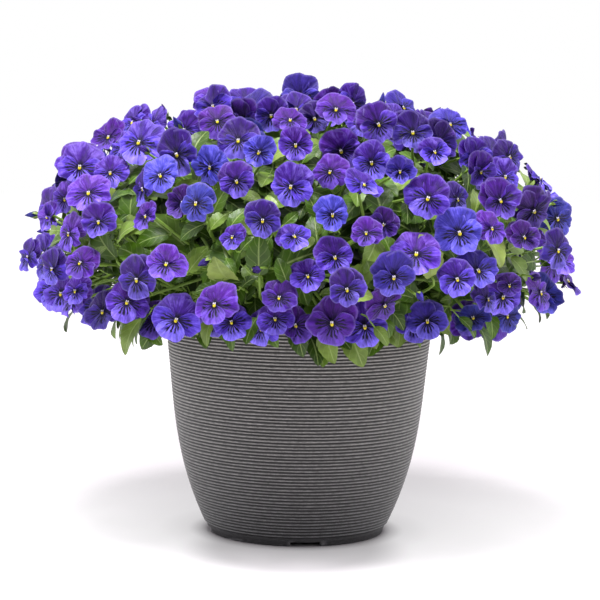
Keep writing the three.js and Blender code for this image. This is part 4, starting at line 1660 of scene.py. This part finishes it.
@dataclass
class Studio:
    """A white studio: a pale floor, a softbox, and the camera where the photograph's was."""

    distance: float = 1792.0
    eye_height: float = 372.0
    lens: float = 115.6
    sensor: float = 36.0
    tilt: float = 4.975
    roll: float = 0.937
    aside: float = 0.65
    floor_reach: float = 9.0  # in metres, as the softbox's place and size
    box_place: tuple[float, float, float] = (-0.25, -0.95, 2.75)
    box_aim: tuple[float, float, float] = (0.0, 0.0, 0.25)
    box_size: float = 0.9
    box_power: float = 122.0
    brightest: tuple[float, float, float] = (0.0, 0.75, 0.66)  # overhead and behind
    dark_side: float = -0.04
    bright_side: float = 0.75
    beside: float = 1.75  # added at the left and right

    def camera(self) -> None:
        """Sets the camera."""
        data = bpy.data.cameras.new("camera")
        data.lens = self.lens
        data.sensor_width = self.sensor
        data.clip_start = 0.05
        data.clip_end = 60.0
        camera = bpy.data.objects.new("camera", data)
        bpy.context.scene.collection.objects.link(camera)
        look = Matrix.Rotation(math.radians(90 - self.tilt), 4, "X")
        look = look @ Matrix.Rotation(math.radians(self.roll), 4, "Z")
        place = (self.aside * MM, -self.distance * MM, self.eye_height * MM)
        camera.matrix_world = Matrix.Translation(place) @ look
        bpy.context.scene.camera = camera

    def floor(self, material: Material) -> None:
        """Lays the floor.

        Args:
            material: Its finish.
        """
        mesh = bpy.data.meshes.new("floor")
        far = self.floor_reach
        corners = [(-far, -far, 0), (far, -far, 0), (far, far, 0), (-far, far, 0)]
        mesh.from_pydata(corners, [], [(0, 1, 2, 3)])
        mesh.materials.append(material)
        floor = bpy.data.objects.new("floor", mesh)
        bpy.context.scene.collection.objects.link(floor)

    def softbox(self) -> None:
        """Hangs the square softbox, which faces the plant."""
        data = bpy.data.lights.new("key softbox", "AREA")
        data.size = self.box_size
        data.energy = self.box_power
        lamp = bpy.data.objects.new("key softbox", data)
        bpy.context.scene.collection.objects.link(lamp)
        lamp.location = self.box_place
        aim = Vector(self.box_place) - Vector(self.box_aim)
        lamp.rotation_euler = aim.to_track_quat("Z", "Y").to_euler()

    def surround(self) -> None:
        """Makes the white surround: bright overhead, behind and at the sides, and dark at the front."""
        world = bpy.data.worlds.new("white surround")
        bpy.context.scene.world = world
        world.use_nodes = True
        tree = world.node_tree
        add = partial(add_node, tree)
        way = add("TexCoord")
        facing = add("VectorMath", (way, self.brightest), out="Value", operation="DOT_PRODUCT")
        strength = add("MapRange", (facing, -1.0, 1.0, self.dark_side, self.bright_side))
        across = add("SeparateXYZ", (way,))
        square = add("Math", (across, across), operation="MULTIPLY")
        strength = add("Math", (square, self.beside, strength), operation="MULTIPLY_ADD")
        # The backdrop itself is plain white wherever the camera stands.
        strength = add("Math", (strength, add("LightPath")), operation="MAXIMUM")
        plug(tree, tree.nodes["Background"], {"Color": "#ffffff", "Strength": strength})

    def build(self) -> None:
        """Makes the floor, the softbox and the white surround."""
        self.floor(PaleFloor().build())
        self.softbox()
        self.surround()
        # The photograph's white is plain white, so the picture's colours aren't toned down.
        bpy.context.scene.view_settings.view_transform = "Standard"


@dataclass
class Planter:
    """The whole planter, put together from its sub-assemblies."""

    sprays: tuple[str, ...] = tuple(f"bloom_spray_{i + 1:02d}" for i in range(28))
    stems: tuple[str, ...] = tuple(f"leafy_stem_{i + 1:02d}" for i in range(28))
    leaf_shape: tuple[int, int] = (25, 9)
    seed: int = 11
    dome: Dome = field(default_factory=Dome)
    blooms: Blooms = field(default_factory=Blooms)
    leaves: Leaves = field(default_factory=Leaves)
    meshes: Meshes = field(default_factory=lambda: defaultdict(Batch))

    def anchors(self, blooms: list[Bloom], paths: list[Array]) -> Array:
        """Points on stems and stalks that small leaves may grow from.

        Args:
            blooms: The blooms.
            paths: The lines of the sprays' branches, then those of the leafy stems.

        Returns:
            The points.
        """
        on_stems = [bend(list(path), 16)[4:] for path in paths]
        necks = np.array([moved([0, 0, -8.0], bloom.matrix) for bloom in blooms])
        middles = np.array([(neck + paths[bloom.branch][-1]) / 2 for neck, bloom in zip(necks, blooms)])
        return np.vstack([*on_stems, middles, (middles + necks) / 2])

    def grow(self) -> None:
        """Fills the meshes of the plant."""
        reader = SolidReader()
        blooms = reader.blooms(self.sprays)
        blades = reader.blades(self.stems)
        log.info("read %d blooms and %d leaves", len(blooms), len(blades))
        stems = Stems(self.dome)
        spray_paths = stems.paths(stems.bloom_rings)
        stem_paths = stems.paths(stems.leaf_rings)
        draws = np.random.default_rng(self.seed)
        blooms = [self.blooms.varied(bloom, draws) for bloom in blooms]
        for bloom in blooms:
            self.blooms.build(bloom, spray_paths[bloom.branch][-1], self.meshes, draws)
        for name, paths in (("flower_stalks", spray_paths), ("leafy_stems", stem_paths)):
            for path in paths:
                stems.build(self.meshes[name], path, draws)
        for blade in blades:
            tone = 0.25 + 0.7 * draws.random()
            self.leaves.add(self.meshes["large_leaves"], blade.matrix, blade.length, self.leaf_shape, tone)
            hub = stem_paths[blade.branch][-1]
            self.leaves.petiole(self.meshes["leafy_stems"], blade.matrix, hub, LEAF_DROOP, 1.2, 6)
        anchors = self.anchors(blooms, spray_paths + stem_paths)
        Undergrowth(self.dome, self.leaves).build(blooms, anchors, self.meshes)
        Fringe(self.leaves).build(self.meshes)
        Buds(self.dome).build(blooms, np.array([path[-1] for path in spray_paths]), self.meshes)

    def build(self) -> None:
        """Makes every piece of the planter."""
        RibbedPot().build(MouldedPolypropylene().build())
        SoilCrumbs().build(BarkMix().build())
        self.grow()
        petal, throat, leaf, green = (
            finish.build() for finish in (VelvetPetal(), ThroatColour(), LeafGreen(), StemGreen())
        )
        for i in range(PETAL_MESHES):
            name = f"viola_petals_{i + 1}"
            self.meshes[name].piece(name, petal, "petals", self.sprays[i::PETAL_MESHES])
        for name, finish, slot, nodes in (
            ("viola_buds", petal, "petals", ()),
            ("viola_throats", throat, "petals", ()),
            ("sepals", leaf, "foliage", ()),
            ("flower_stalks", green, "foliage", self.sprays),
            ("leafy_stems", green, "foliage", self.stems),
            ("large_leaves", leaf, "foliage", self.stems),
            ("small_leaf_stalks", green, "foliage", ()),
            ("small_leaves_1", leaf, "foliage", ()),
            ("small_leaves_2", leaf, "foliage", ()),
        ):
            self.meshes[name].piece(name, finish, slot, nodes)


def main() -> None:
    """Sets the camera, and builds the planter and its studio."""
    logging.basicConfig(level=logging.INFO, format="%(message)s")
    studio = Studio()
    studio.camera()
    Planter().build()
    studio.build()


if __name__ == "__main__":
    main()
